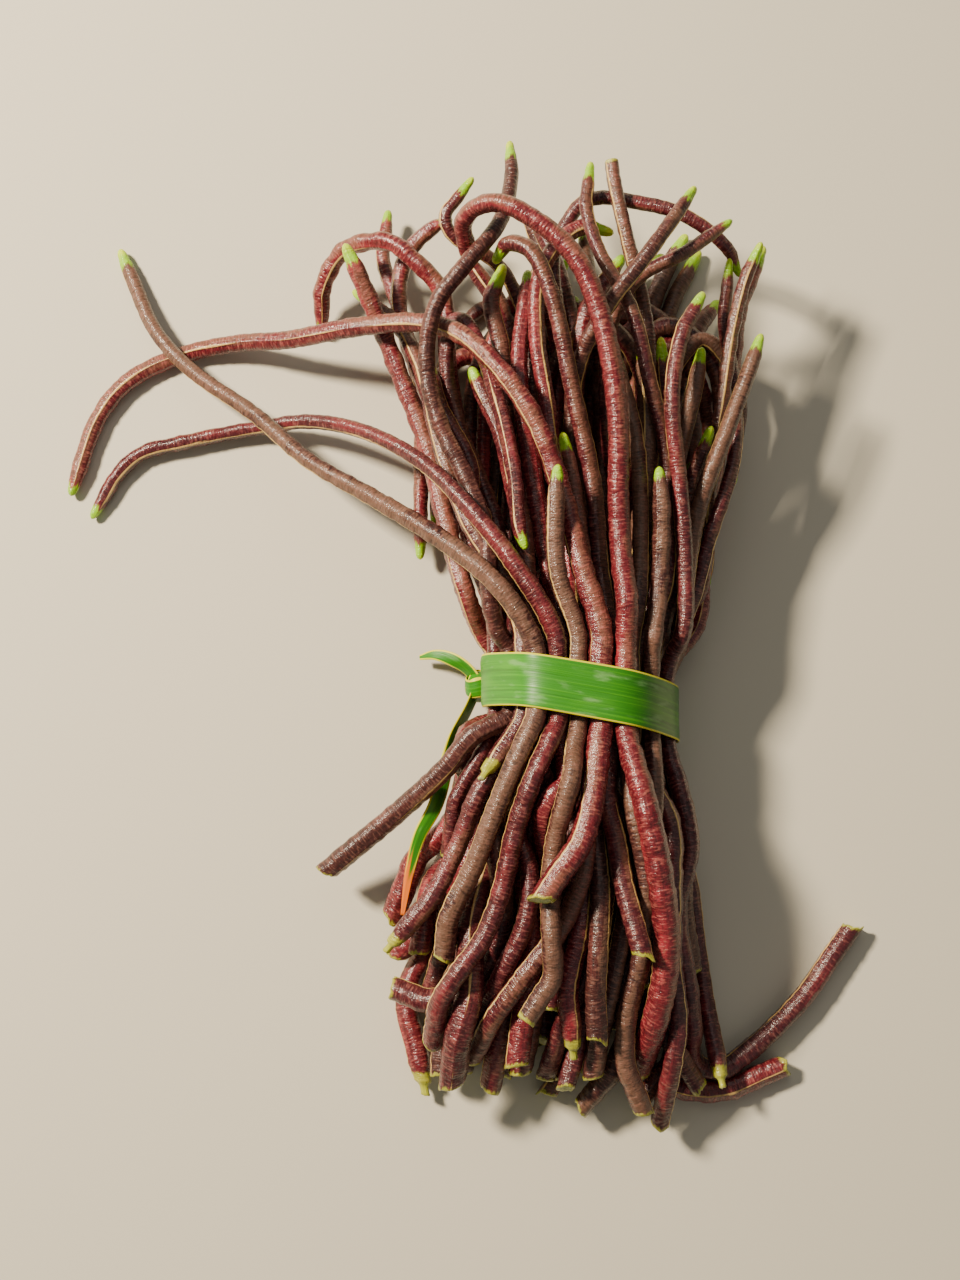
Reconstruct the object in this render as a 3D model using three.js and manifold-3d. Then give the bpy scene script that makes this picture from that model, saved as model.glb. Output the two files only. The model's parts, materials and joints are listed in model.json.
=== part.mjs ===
// A bunch of purple yardlong beans, lying on its side and held at the waist by a strip of green
// palm leaf. Units are millimetres. +Z is up, +Y runs along the bunch from the picked stem ends
// to the blossom tips, and the bunch rests on z = 0 with the origin under its middle.
//
// Every pod is one solid. The pods that lie on top follow routes chosen by hand, the ones under
// them follow a rule, and a short settling loop then packs them all without any overlap.

import * as THREE from "three";
import Module from "manifold-3d";
import { mergeVertices } from "three/addons/utils/BufferGeometryUtils.js";

// Sizes of a pod.
const POD_RADIUS = 4.1;
const HIDDEN_RADII = [3.6, 4.7];
const THINNING = 0.0009;
const SHOWN_SIDES = 7;
const HIDDEN_SIDES = 6;
const TIP_LENGTH = 15;
const NECK_LENGTH = 12;
const GAP = 0.45;

// Sizes of the leaf tie.
const TIE_WIDTH = 23;
const TIE_THICKNESS = 1.0;
const TIE_CORNERS = 36;
const TIE_SLOPE = Math.tan(THREE.MathUtils.degToRad(10));
const TIE_CLEARANCE = 0.4;
const KNOT_RADII = [6, 8.5, 6.5];
const TAIL_THICKNESS = 0.8;

// The bunch as a whole.
const POD_COUNT = 59;
const WAIST_HALF_WIDTH = 41;
const WAIST_HEIGHT = 66;
const PINNED_REACH = 14;
const STEM_LEAN = 0.14;
const TIP_LEAN = 0.05;
const SEED = 20817;

// Settling.
const LINK = 9;
const SETTLE_STEPS = 1500;
const TRIM_STEPS = 2200;
const FIND_EVERY = 8;
const LONGEST_FACET = 44;
const SHARPEST_TURN = THREE.MathUtils.degToRad(32);

// The routes below are written as they look from a point above the stem end of the bunch.
const EYE = { x: -43, y: 20, level: 66, distance: 700, lean: THREE.MathUtils.degToRad(8) };

const COLOURS = ["#5c1f28", "#6d2631", "#4b2428", "#7a2733", "#553030", "#64222b"];
const LEAF_COLOUR = "#4f9a1c";

// A place in the tie. The pods pass it along Y, and the band lies askew round them, so its middle
// is further back on the right.
const inTie = (x, height, along = 0) => new THREE.Vector3(x, along - TIE_SLOPE * x, height);
const beyondTie = (point) => point.y + TIE_SLOPE * point.x;

// Routes of the pods that show. seat is [x, height] inside the tie; stem and tip run outwards
// from the tie to each end as [x, y, height]. A blunt pod has its blossom tip snapped off.
const SHOWN = [
  {
    name: "sweep_low",
    radius: 4.8,
    seat: [-4, 66],
    stem: [[-5, -28, 66], [-10, -52, 62], [-17, -68, 60], [-22, -86, 58]],
    tip: [[-8, 52, 70], [-16, 92, 74], [-27, 120, 76], [-43, 138, 72], [-59, 148, 64], [-83, 149, 50],
      [-115, 143, 32], [-135, 142, 21], [-155, 138, 12], [-175, 130, 7], [-191, 118, 6], [-201, 104, 6],
      [-207, 90, 6], [-212, 78, 6]],
  },
  {
    name: "sweep_high",
    radius: 4.3,
    seat: [-29, 54],
    stem: [[-33, -28, 58], [-39, -52, 54], [-46, -80, 45], [-52, -110, 36]],
    tip: [[-35, 36, 62], [-53, 54, 62], [-75, 70, 56], [-103, 86, 44], [-121, 98, 36], [-135, 112, 29],
      [-155, 126, 22], [-169, 138, 17], [-177, 152, 13], [-183, 166, 9], [-188, 178, 7]],
  },
  {
    name: "sweep_middle",
    radius: 4.0,
    seat: [-21, 60],
    stem: [[-25, -28, 62], [-29, -56, 56], [-33, -84, 46], [-39, -108, 36], [-47, -128, 27],
      [-53, -146, 20]],
    tip: [[-27, 36, 66], [-39, 60, 66], [-53, 80, 60], [-67, 94, 52], [-87, 104, 40], [-103, 109, 28],
      [-121, 109, 17], [-135, 106, 11], [-155, 100, 7], [-175, 98, 6], [-189, 90, 6], [-197, 80, 6],
      [-205, 68, 6]],
  },
  {
    name: "upright_tip",
    radius: 4.1,
    seat: [-37, 42],
    stem: [[-49, -18, 48], [-59, -32, 46], [-75, -46, 40], [-91, -60, 34], [-107, -73, 28]],
    tip: [[-37, 32, 50], [-44, 68, 56], [-55, 92, 60], [-62, 112, 62], [-65, 136, 66], [-61, 158, 72],
      [-50, 173, 76], [-39, 185, 74], [-32, 198, 70], [-30, 212, 66], [-31, 225, 62]],
  },
  {
    name: "great_loop",
    radius: 4.9,
    seat: [7, 66],
    stem: [[9, -28, 64], [13, -52, 56], [19, -76, 46], [24, -106, 34], [21, -126, 25], [14, -142, 17],
      [7, -152, 12]],
    tip: [[10, 36, 72], [10, 68, 76], [12, 96, 80], [12, 120, 84], [8, 144, 88], [1, 168, 92],
      [-11, 185, 95], [-23, 194, 96], [-35, 199, 95], [-44, 197, 90], [-49, 190, 82], [-48, 180, 72],
      [-46, 170, 62]],
  },
  {
    name: "hooked_tip",
    radius: 3.7,
    seat: [-13, 42],
    stem: [[-14, -40, 42], [-16, -84, 34], [-24, -112, 27], [-36, -126, 20], [-50, -135, 14]],
    tip: [[-19, 52, 44], [-21, 96, 46], [-23, 136, 48], [-27, 160, 52], [-36, 175, 58], [-48, 182, 62],
      [-56, 188, 66], [-57, 195, 68], [-52, 203, 68], [-45, 210, 68]],
  },
  {
    name: "small_loop",
    radius: 4.2,
    seat: [2, 56],
    stem: [[0, -36, 56], [4, -60, 52], [14, -84, 54], [26, -104, 54]],
    tip: [[0, 52, 60], [-1, 84, 64], [-4, 108, 68], [-8, 132, 72], [-12, 152, 76], [-17, 168, 78],
      [-24, 179, 76], [-32, 180, 70], [-36, 172, 62]],
  },
  {
    name: "brown_tip",
    radius: 3.7,
    seat: [20, 58],
    stem: [[26, -28, 58], [26, -64, 50], [27, -104, 38], [25, -132, 22], [26, -156, 10], [27, -174, 7]],
    tip: [[32, 52, 62], [33, 76, 64], [32, 96, 66], [28, 116, 70], [23, 136, 74], [18, 154, 78],
      [11, 168, 78], [5, 180, 76], [1, 192, 74], [0, 204, 72], [2, 216, 70]],
  },
  {
    name: "picked_top",
    radius: 3.6,
    seat: [13, 44],
    stem: [[12, -40, 42], [8, -84, 32], [4, -120, 20], [-6, -150, 10], [-18, -166, 6]],
    tip: [[25, 68, 50], [27, 108, 54], [25, 144, 58], [21, 168, 62], [16, 184, 66], [12, 200, 68],
      [10, 214, 68]],
    blunt: true,
  },
  {
    name: "crossing",
    radius: 4.0,
    seat: [-4, 50],
    stem: [[-6, -36, 50], [-4, -72, 42], [0, -104, 34], [2, -138, 24]],
    tip: [[-6, 56, 52], [-7, 96, 56], [-5, 124, 62], [1, 144, 72], [9, 156, 79], [18, 168, 86],
      [28, 181, 88], [37, 194, 86], [45, 206, 82]],
  },
  {
    name: "crossing_low",
    radius: 3.6,
    seat: [8, 50],
    stem: [[8, -40, 50], [6, -76, 42], [-4, -110, 30], [-14, -140, 18], [-16, -157, 12]],
    tip: [[13, 60, 52], [9, 104, 54], [8, 136, 60], [12, 156, 66], [22, 169, 72], [34, 175, 76],
      [47, 183, 78], [60, 192, 76]],
  },
  {
    name: "right_bow",
    radius: 3.9,
    seat: [34, 46],
    stem: [[33, -28, 50], [32, -64, 44], [31, -104, 32], [33, -136, 16], [39, -149, 8], [50, -149, 6],
      [70, -137, 6], [90, -118, 6], [105, -96, 6]],
    tip: [[37, 24, 54], [38, 52, 60], [37, 76, 64], [34, 100, 68], [34, 120, 72], [37, 140, 74],
      [42, 153, 74], [48, 163, 72]],
  },
  {
    name: "right_rise",
    radius: 3.8,
    seat: [39, 36],
    stem: [[35, -44, 38], [36, -84, 28], [39, -114, 18]],
    tip: [[40, 24, 46], [44, 52, 54], [48, 76, 60], [54, 96, 64], [60, 114, 66], [66, 130, 67],
      [71, 145, 67]],
  },
  {
    name: "right_thin",
    radius: 3.4,
    seat: [38, 26],
    stem: [[34, -44, 28], [40, -90, 18], [46, -130, 10], [48, -156, 6]],
    tip: [[44, 30, 38], [50, 52, 46], [57, 80, 52], [61, 104, 54], [60, 124, 54], [57, 144, 56],
      [56, 160, 59], [58, 177, 62]],
  },
  {
    name: "right_red",
    radius: 3.8,
    seat: [33, 18],
    stem: [[32, -50, 20], [28, -100, 14], [20, -140, 8], [26, -155, 6], [48, -161, 6], [66, -158, 6],
      [80, -150, 6]],
    tip: [[41, 28, 28], [47, 68, 34], [55, 108, 40], [60, 140, 46], [62, 156, 50], [66, 169, 53],
      [72, 182, 54]],
  },
  {
    name: "front_right",
    radius: 3.8,
    seat: [24, 62],
    stem: [[21, -28, 60], [20, -64, 50], [16, -98, 40], [10, -122, 28], [2, -140, 18], [-2, -152, 14]],
    tip: [[25, 22, 66], [28, 44, 68], [30, 68, 71], [30, 92, 73]],
  },
  {
    name: "front_left",
    radius: 3.9,
    seat: [-15, 66],
    stem: [[-19, -30, 64], [-18, -56, 56], [-15, -84, 46], [-14, -108, 36], [-19, -122, 30],
      [-27, -130, 27]],
    tip: [[-20, 24, 70], [-18, 48, 73], [-16, 72, 76], [-13, 92, 78]],
  },
  {
    name: "right_short",
    radius: 3.6,
    seat: [29, 38],
    stem: [[26, -50, 38], [24, -96, 28], [30, -136, 14], [44, -156, 7]],
    tip: [[37, 44, 44], [41, 76, 50], [45, 94, 55], [51, 108, 60]],
  },
  {
    name: "folded_left",
    radius: 4.0,
    seat: [-25, 40],
    stem: [[-40, -34, 44], [-50, -56, 42], [-58, -76, 36], [-68, -92, 30], [-77, -100, 26]],
    tip: [[-35, 52, 46], [-47, 88, 48], [-55, 116, 50], [-58, 138, 56], [-53, 152, 62], [-45, 143, 66],
      [-39, 126, 68], [-33, 108, 68], [-30, 88, 66], [-30, 70, 66], [-27, 56, 66]],
  },
  {
    name: "beside_loop",
    radius: 3.9,
    seat: [15, 60],
    stem: [[16, -40, 56], [20, -76, 46], [16, -110, 34], [14, -140, 20], [22, -166, 8]],
    tip: [[19, 36, 64], [21, 68, 66], [20, 100, 68], [16, 120, 68], [10, 140, 66], [3, 160, 62],
      [0, 176, 60], [-2, 190, 58]],
  },
  {
    name: "low_tip_right",
    radius: 3.6,
    seat: [21, 48],
    stem: [[20, -50, 46], [14, -96, 34], [4, -132, 18], [-6, -156, 8]],
    tip: [[27, 60, 52], [30, 96, 56], [30, 124, 60], [27, 144, 66]],
  },
  {
    name: "low_tip_middle",
    radius: 3.8,
    seat: [-9, 58],
    stem: [[-12, -40, 56], [-12, -76, 44], [-16, -108, 32], [-30, -132, 20], [-42, -152, 10]],
    tip: [[-8, 50, 62], [-8, 84, 64], [-9, 106, 68]],
  },
  {
    name: "left_stub",
    radius: 3.8,
    seat: [-34, 50],
    stem: [[-38, -16, 56], [-41, -34, 58]],
    tip: [[-40, 48, 52], [-56, 84, 52], [-66, 116, 48], [-74, 140, 44], [-86, 156, 38], [-98, 164, 34]],
  },
  {
    name: "left_low",
    radius: 4.2,
    seat: [-30, 32],
    stem: [[-44, -40, 34], [-54, -72, 28], [-62, -98, 22], [-72, -110, 20]],
    tip: [[-42, 60, 34], [-58, 104, 34], [-72, 140, 32], [-76, 168, 34], [-66, 186, 38],
      [-54, 192, 42]],
  },
  {
    name: "left_thick_end",
    radius: 4.4,
    seat: [-36, 30],
    stem: [[-39, -20, 42], [-44, -40, 40], [-49, -50, 37], [-55, -64, 33], [-61, -76, 29],
      [-69, -86, 25], [-76, -98, 20]],
    tip: [[-45, 40, 46], [-58, 80, 44], [-65, 116, 44], [-69, 126, 46], [-75, 138, 48], [-81, 150, 51],
      [-87, 160, 54], [-93, 174, 58], [-98, 183, 60]],
  },
  {
    name: "left_red_end",
    radius: 4.7,
    seat: [-32, 22],
    stem: [[-40, -40, 34], [-47, -64, 30], [-53, -84, 26], [-63, -98, 20], [-72, -110, 14]],
    tip: [[-44, 60, 36], [-54, 110, 40], [-57, 140, 44], [-59, 162, 48], [-65, 168, 50], [-71, 176, 52],
      [-79, 182, 50], [-91, 182, 44], [-99, 178, 37], [-105, 168, 29], [-108, 156, 21],
      [-107, 144, 13]],
  },
  {
    name: "left_thin_end",
    radius: 3.4,
    seat: [-38, 38],
    stem: [[-43, -22, 46], [-49, -32, 45], [-54, -44, 43], [-55, -56, 40], [-56, -66, 37]],
    tip: [[-37, 46, 54], [-39, 70, 58], [-43, 76, 58], [-47, 90, 58], [-53, 104, 56], [-59, 116, 54],
      [-63, 134, 52]],
  },
  {
    name: "middle_red_end",
    radius: 4.2,
    seat: [-14, 54],
    stem: [[-18, -28, 56], [-16, -48, 48], [-13, -60, 44], [-6, -76, 38], [-3, -92, 34], [1, -108, 30]],
    tip: [[-20, 60, 58], [-24, 100, 60], [-27, 132, 60], [-26, 144, 59], [-24, 156, 58],
      [-23, 172, 56]],
  },
  {
    name: "middle_lumpy",
    radius: 4.1,
    seat: [14, 54],
    stem: [[13, -14, 58], [16, -32, 54], [18, -52, 47], [19, -68, 42], [19, -92, 33], [16, -122, 20]],
    tip: [[20, 50, 58], [26, 90, 62], [28, 120, 63], [27, 140, 62]],
  },
  {
    name: "green_edged",
    radius: 4.1,
    seat: [-24, 50],
    stem: [[-14, -50, 48], [-13, -84, 38], [-14, -100, 33], [-16, -116, 28], [-22, -128, 23]],
    tip: [[-28, 40, 60], [-29, 64, 63], [-31, 76, 63], [-32, 92, 63], [-35, 104, 62], [-41, 116, 60],
      [-47, 132, 58]],
  },
  {
    name: "scooped_end",
    radius: 4.6,
    seat: [-28, 34],
    stem: [[-30, -60, 38], [-33, -90, 30], [-37, -106, 26], [-45, -116, 22], [-55, -121, 18],
      [-67, -122, 14], [-78, -116, 11]],
    tip: [[-26, 60, 50], [-32, 104, 56], [-35, 140, 58], [-38, 148, 59], [-39, 160, 60],
      [-35, 174, 60]],
  },
  {
    name: "bottom_left_red",
    radius: 4.2,
    seat: [-34, 14],
    stem: [[-46, -60, 26], [-56, -96, 18], [-61, -124, 11], [-63, -144, 7], [-65, -158, 6]],
    tip: [[-46, 60, 26], [-62, 110, 26], [-74, 150, 24], [-82, 176, 22], [-80, 196, 20]],
  },
  {
    name: "top_arc",
    radius: 3.7,
    seat: [-2, 40],
    stem: [[-3, -60, 38], [-2, -100, 30], [-5, -132, 22], [-9, -144, 18], [-15, -158, 14]],
    tip: [[4, 60, 46], [-4, 110, 50], [-12, 155, 54], [-13, 178, 57], [-7, 191, 60], [0, 199, 63],
      [15, 199, 66], [31, 197, 68], [41, 193, 68], [51, 187, 66], [59, 178, 62], [63, 168, 58]],
  },
  {
    name: "bottom_dark",
    radius: 3.8,
    seat: [22, 34],
    stem: [[10, -60, 34], [11, -110, 22], [8, -140, 12], [3, -152, 8], [-9, -166, 6]],
    tip: [[30, 60, 50], [38, 100, 56], [44, 124, 60], [47, 140, 63]],
  },
  {
    name: "glossy_red_end",
    radius: 4.0,
    seat: [-8, 46],
    stem: [[-8, -50, 46], [-7, -96, 36], [-5, -112, 30], [-3, -128, 24], [0, -140, 20]],
    tip: [[-5, 60, 56], [-14, 110, 58], [-20, 150, 60], [-15, 176, 62], [0, 188, 64], [12, 186, 64]],
  },
  {
    name: "bottom_right_tip",
    radius: 3.5,
    seat: [30, 12],
    stem: [[27, -60, 20], [27, -110, 12], [24, -146, 7], [20, -162, 6], [17, -172, 6]],
    tip: [[44, 40, 40], [52, 90, 52], [59, 144, 60], [62, 156, 60], [65, 168, 62], [71, 182, 64]],
  },
];

// The knot of the tie sits on its left flank, and its two loose ends run from there.
const KNOT = { height: 11, sunk: 0.7 };
const TAILS = [
  {
    width: 8,
    end: 2.4,
    route: [[-47, -7, 13], [-53, -19, 19], [-57, -34, 27], [-61, -47, 32], [-67, -58, 31],
      [-71, -72, 29], [-74, -90, 27]],
  },
  {
    width: 7,
    end: 3,
    route: [[-48, 8, 13], [-54, 12, 13], [-61, 14, 10], [-67, 13, 6]],
  },
];

function randomSource(seed) {
  let state = seed >>> 0;
  return () => {
    state = (state + 0x6d2b79f5) >>> 0;
    let t = state;
    t = Math.imul(t ^ (t >>> 15), t | 1);
    t ^= t + Math.imul(t ^ (t >>> 7), t | 61);
    return ((t ^ (t >>> 14)) >>> 0) / 4294967296;
  };
}

const random = randomSource(SEED);
const between = (low, high) => low + (high - low) * random();

// Where the pods pass the tie: the seats of the shown pods, then free places of a honeycomb under
// them, all pressed together like discs until none overlap.
function waistSeats(shown, count) {
  const seats = shown.map((pod) => ({ x: pod.seat[0], z: pod.seat[1], radius: pod.radius }));
  const pitch = 2 * POD_RADIUS + GAP;
  const free = [];
  for (let row = 0; row * pitch * 0.87 < WAIST_HEIGHT; row++) {
    const z = POD_RADIUS + row * pitch * 0.87;
    for (let column = -6; column <= 6; column++) {
      const x = (column + (row % 2) / 2) * pitch;
      const reach = (x / WAIST_HALF_WIDTH) ** 2 + ((z - WAIST_HEIGHT / 2) / (WAIST_HEIGHT / 2)) ** 2;
      const nearest = Math.min(...seats.map((s) => Math.hypot(s.x - x, s.z - z)));
      free.push({ x, z, radius: between(...HIDDEN_RADII), order: reach - nearest / pitch });
    }
  }
  free.sort((a, b) => a.order - b.order);
  while (seats.length < count) seats.push(free.shift());
  const floor = TIE_THICKNESS + TIE_CLEARANCE;
  for (let step = 0; step < 4000; step++) {
    const pull = step < 2500 ? 0.002 : 0;
    for (const seat of seats) {
      seat.x -= pull * seat.x;
      seat.z -= pull * 1.25 * (seat.z - WAIST_HEIGHT * 0.45);
    }
    for (let i = 0; i < seats.length; i++) {
      for (let j = i + 1; j < seats.length; j++) {
        const dx = seats[j].x - seats[i].x;
        const dz = seats[j].z - seats[i].z;
        const distance = Math.hypot(dx, dz) || 1e-6;
        const push = (seats[i].radius + seats[j].radius + GAP + 0.02 - distance) / 2;
        if (push <= 0) continue;
        seats[i].x -= (push * dx) / distance;
        seats[i].z -= (push * dz) / distance;
        seats[j].x += (push * dx) / distance;
        seats[j].z += (push * dz) / distance;
      }
    }
    for (const seat of seats) seat.z = Math.max(seat.z, seat.radius + floor);
  }
  return seats;
}

// The route of a pod that lies under the shown ones: it spreads both ways from its seat, and the
// tip half often folds back over itself.
function hiddenRoute(seat) {
  const level = seat.z / WAIST_HEIGHT;
  const at = (along, spread, drift, height) => {
    const lean = along < 0 ? STEM_LEAN : TIP_LEAN;
    return [seat.x * spread + drift + lean * along, along, height];
  };
  const stemReach = between(128, 162);
  const stemDrift = between(-9, 9);
  const stemHeight = POD_RADIUS + level * between(14, 34);
  const stem = [
    at(-0.3 * stemReach, 1.05, stemDrift * 0.1, seat.z),
    at(-0.65 * stemReach, 1.3, stemDrift * 0.5, THREE.MathUtils.lerp(seat.z, stemHeight, 0.5)),
    at(-stemReach, 1.5, stemDrift, stemHeight),
  ];
  const drift = between(-10, 10);
  const apex = between(150, 186);
  const side = random() < 0.5 ? -1 : 1;
  const lift = between(0, 12);
  const height = (share) => seat.z * (1 - 0.25 * share) + lift * share;
  const tip = [
    at(0.25 * apex, 1.1, drift * 0.15, height(0.2)),
    at(0.6 * apex, 1.35, drift * 0.6, height(0.5)),
    at(0.88 * apex, 1.55, drift, height(0.8)),
  ];
  if (random() < 0.55) {
    const bow = side * between(15, 21);
    const back = between(38, 92);
    tip.push(at(apex, 1.55, drift + bow * 0.9, height(1) + 4));
    tip.push(at(0.88 * apex, 1.55, drift + bow * 1.9, height(1) + 6));
    tip.push(at(0.88 * apex - back * 0.5, 1.5, drift + bow * 2.1, height(1) + 4));
    tip.push(at(0.88 * apex - back, 1.45, drift + bow * 2.1, height(1) + 2));
  } else {
    tip.push(at(apex + 12, 1.65, drift + side * 6, height(1) + 3));
    tip.push(at(apex + between(26, 42), 1.7, drift + side * between(12, 26), height(1) + between(0, 16)));
  }
  return { radius: seat.radius, stem, tip };
}

// Where a point of a route lies, given where it seems to lie from EYE and its height.
function placed([x, y, height]) {
  const { distance, lean, level } = EYE;
  const sine = Math.sin(lean);
  const cosine = Math.cos(lean);
  const rise = height - level;
  const seenX = x - EYE.x;
  const seenY = y - EYE.y;
  const reach = seenY * distance - rise * (seenY * cosine + distance * sine);
  const relY = reach / (distance * cosine - seenY * sine);
  const depth = distance + sine * relY - cosine * rise;
  return new THREE.Vector3(EYE.x + (seenX * depth) / distance, EYE.y + relY, height);
}

// A pod as a chain of points a LINK apart. Points inside the tie are pinned to the pod's seat, and
// the route near the tie is eased over to that seat.
function chainOf(route, seat) {
  const shift = route.seat ? [seat.x - route.seat[0], seat.z - route.seat[1]] : [0, 0];
  const eased = (point) => {
    const place = route.seat ? placed(point) : new THREE.Vector3(...point);
    const ease = Math.max(0, 1 - Math.abs(beyondTie(place)) / 120);
    place.x += ease * shift[0];
    place.z += ease * shift[1];
    return place;
  };
  const outside = (point) => Math.abs(beyondTie(point)) > PINNED_REACH + 8;
  const stem = route.stem.slice().reverse().map(eased).filter(outside);
  const tip = route.tip.map(eased).filter(outside);
  const edges = [-PINNED_REACH, PINNED_REACH].map((along) => inTie(seat.x, seat.z, along));
  const points = [...stem, ...edges, ...tip];
  const curve = new THREE.CatmullRomCurve3(points, false, "centripetal");
  const spans = points.length - 1;
  const tieSpan = stem.length;
  const chain = [points[0]];
  const pinned = [false];
  for (let span = 0; span < spans; span++) {
    const length = points[span].distanceTo(points[span + 1]);
    const steps = span === tieSpan ? 1 : Math.max(1, Math.round(length / LINK));
    for (let k = 1; k <= steps; k++) {
      chain.push(curve.getPoint((span + k / steps) / spans));
      pinned.push(k === steps && (span === tieSpan || span === tieSpan - 1));
    }
  }
  const tieStart = pinned.indexOf(true);
  const arcs = [0];
  for (let i = 1; i < chain.length; i++) arcs.push(arcs[i - 1] + chain[i].distanceTo(chain[i - 1]));
  const waist = arcs[tieStart] + PINNED_REACH;
  const share = (arc) => THREE.MathUtils.clamp(1 - THINNING * (arc - waist), 0.75, 1.2);
  const radii = arcs.map((arc) => seat.radius * share(arc));
  return { points: chain, pinned, radii, shown: Boolean(route.name), blunt: Boolean(route.blunt) };
}

// A fixed chain that keeps the pods clear of the knot or of a loose end.
function fixedChain(points, radius) {
  return { points, pinned: points.map(() => true), radii: points.map(() => radius), fixed: true };
}

// Lets the chains settle: they are drawn to their routes, bend stiffly, sink under their weight,
// keep their length, and are pushed apart wherever two come closer than their radii allow.
function settle(chains, steps, { grow, pull, weight, stiffness }) {
  const first = [];
  let total = 0;
  for (const chain of chains) {
    first.push(total);
    total += chain.points.length;
  }
  const p = new Float64Array(3 * total);
  const free = new Float64Array(total);
  const radius = new Float64Array(total);
  const firm = new Float64Array(total);
  const segments = [];
  chains.forEach((chain, c) => {
    let arc = 0;
    chain.points.forEach((point, i) => {
      const at = first[c] + i;
      point.toArray(p, 3 * at);
      free[at] = chain.pinned[i] ? 0 : 1;
      radius[at] = chain.radii[i];
      firm[at] = chain.shown ? 1 : 0.4;
      if (i === 0) return;
      const length = point.distanceTo(chain.points[i - 1]);
      segments.push({ a: at - 1, b: at, chain: c, from: arc, to: arc + length, length });
      arc += length;
    });
  });
  const home = p.slice();
  const count = segments.length;
  const middle = new Float64Array(3 * count);
  const near = { s: 0, t: 0, x: 0, y: 0, z: 0 };
  let pairs = [];

  // How close segments a-b and c-d come: the place on each, and the vector between them.
  const findNearest = (a, b, c, d) => {
    const ux = p[b] - p[a];
    const uy = p[b + 1] - p[a + 1];
    const uz = p[b + 2] - p[a + 2];
    const vx = p[d] - p[c];
    const vy = p[d + 1] - p[c + 1];
    const vz = p[d + 2] - p[c + 2];
    const wx = p[a] - p[c];
    const wy = p[a + 1] - p[c + 1];
    const wz = p[a + 2] - p[c + 2];
    const uu = ux * ux + uy * uy + uz * uz;
    const vv = vx * vx + vy * vy + vz * vz;
    const uv = ux * vx + uy * vy + uz * vz;
    const uw = ux * wx + uy * wy + uz * wz;
    const vw = vx * wx + vy * wy + vz * wz;
    const slack = uu * vv - uv * uv;
    let s = slack > 1e-6 * uu * vv ? Math.min(1, Math.max(0, (uv * vw - vv * uw) / slack)) : 0.5;
    let t = (uv * s + vw) / vv;
    if (t < 0 || t > 1) {
      t = Math.min(1, Math.max(0, t));
      s = Math.min(1, Math.max(0, (uv * t - uw) / uu));
    }
    near.s = s;
    near.t = t;
    near.x = wx + s * ux - t * vx;
    near.y = wy + s * uy - t * vy;
    near.z = wz + s * uz - t * vz;
    return Math.hypot(near.x, near.y, near.z);
  };

  const findPairs = () => {
    pairs = [];
    segments.forEach(({ a, b }, i) => {
      for (let k = 0; k < 3; k++) middle[3 * i + k] = (p[3 * a + k] + p[3 * b + k]) / 2;
    });
    for (let i = 0; i < count; i++) {
      const one = segments[i];
      for (let j = i + 1; j < count; j++) {
        const two = segments[j];
        const reach = (one.length + two.length) / 2 + radius[one.a] + radius[two.a] + 4;
        const dx = middle[3 * i] - middle[3 * j];
        const dy = middle[3 * i + 1] - middle[3 * j + 1];
        const dz = middle[3 * i + 2] - middle[3 * j + 2];
        if (dx * dx + dy * dy + dz * dz > reach * reach) continue;
        if (one.chain === two.chain && two.from - one.to < 24) continue;
        if (!(free[one.a] + free[one.b] + free[two.a] + free[two.b])) continue;
        const distance = findNearest(3 * one.a, 3 * one.b, 3 * two.a, 3 * two.b);
        if (distance < radius[one.a] + radius[two.a] + GAP + 4) pairs.push(one, two);
      }
    }
  };

  const nudge = (point, share) => {
    p[3 * point] += share * near.x;
    p[3 * point + 1] += share * near.y;
    p[3 * point + 2] += share * near.z;
  };

  const separate = (size) => {
    let worst = 0;
    for (let i = 0; i < pairs.length; i += 2) {
      const { a, b } = pairs[i];
      const { a: c, b: d } = pairs[i + 1];
      const distance = Math.max(1e-3, findNearest(3 * a, 3 * b, 3 * c, 3 * d));
      const short = size * (radius[a] + radius[c] + GAP) - distance;
      if (short <= 0) continue;
      const atA = (1 - near.s) * free[a];
      const atB = near.s * free[b];
      const atC = (1 - near.t) * free[c];
      const atD = near.t * free[d];
      const give = atA * (1 - near.s) + atB * near.s + atC * (1 - near.t) + atD * near.t;
      worst = Math.max(worst, short);
      if (give < 1e-6) continue;
      const scale = short / distance / Math.max(give, 0.15);
      nudge(a, scale * atA);
      nudge(b, scale * atB);
      nudge(c, -scale * atC);
      nudge(d, -scale * atD);
    }
    return worst;
  };

  const keepLengths = () => {
    for (const { a, b, length } of segments) {
      const give = free[a] + free[b];
      if (!give) continue;
      near.x = p[3 * b] - p[3 * a];
      near.y = p[3 * b + 1] - p[3 * a + 1];
      near.z = p[3 * b + 2] - p[3 * a + 2];
      const now = Math.hypot(near.x, near.y, near.z);
      const scale = (now - length) / now / give;
      nudge(a, free[a] * scale);
      nudge(b, -free[b] * scale);
    }
  };

  const bend = () => {
    chains.forEach((chain, c) => {
      if (chain.fixed) return;
      for (let i = 1; i < chain.points.length - 1; i++) {
        const m = 3 * (first[c] + i);
        for (let k = m; k < m + 3; k++) {
          const move = stiffness * ((p[k - 3] + p[k + 3] - home[k - 3] - home[k + 3]) / 2 - p[k] + home[k]);
          p[k] += free[m / 3] * move;
          p[k - 3] -= (free[m / 3 - 1] * move) / 2;
          p[k + 3] -= (free[m / 3 + 1] * move) / 2;
        }
      }
    });
  };

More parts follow.
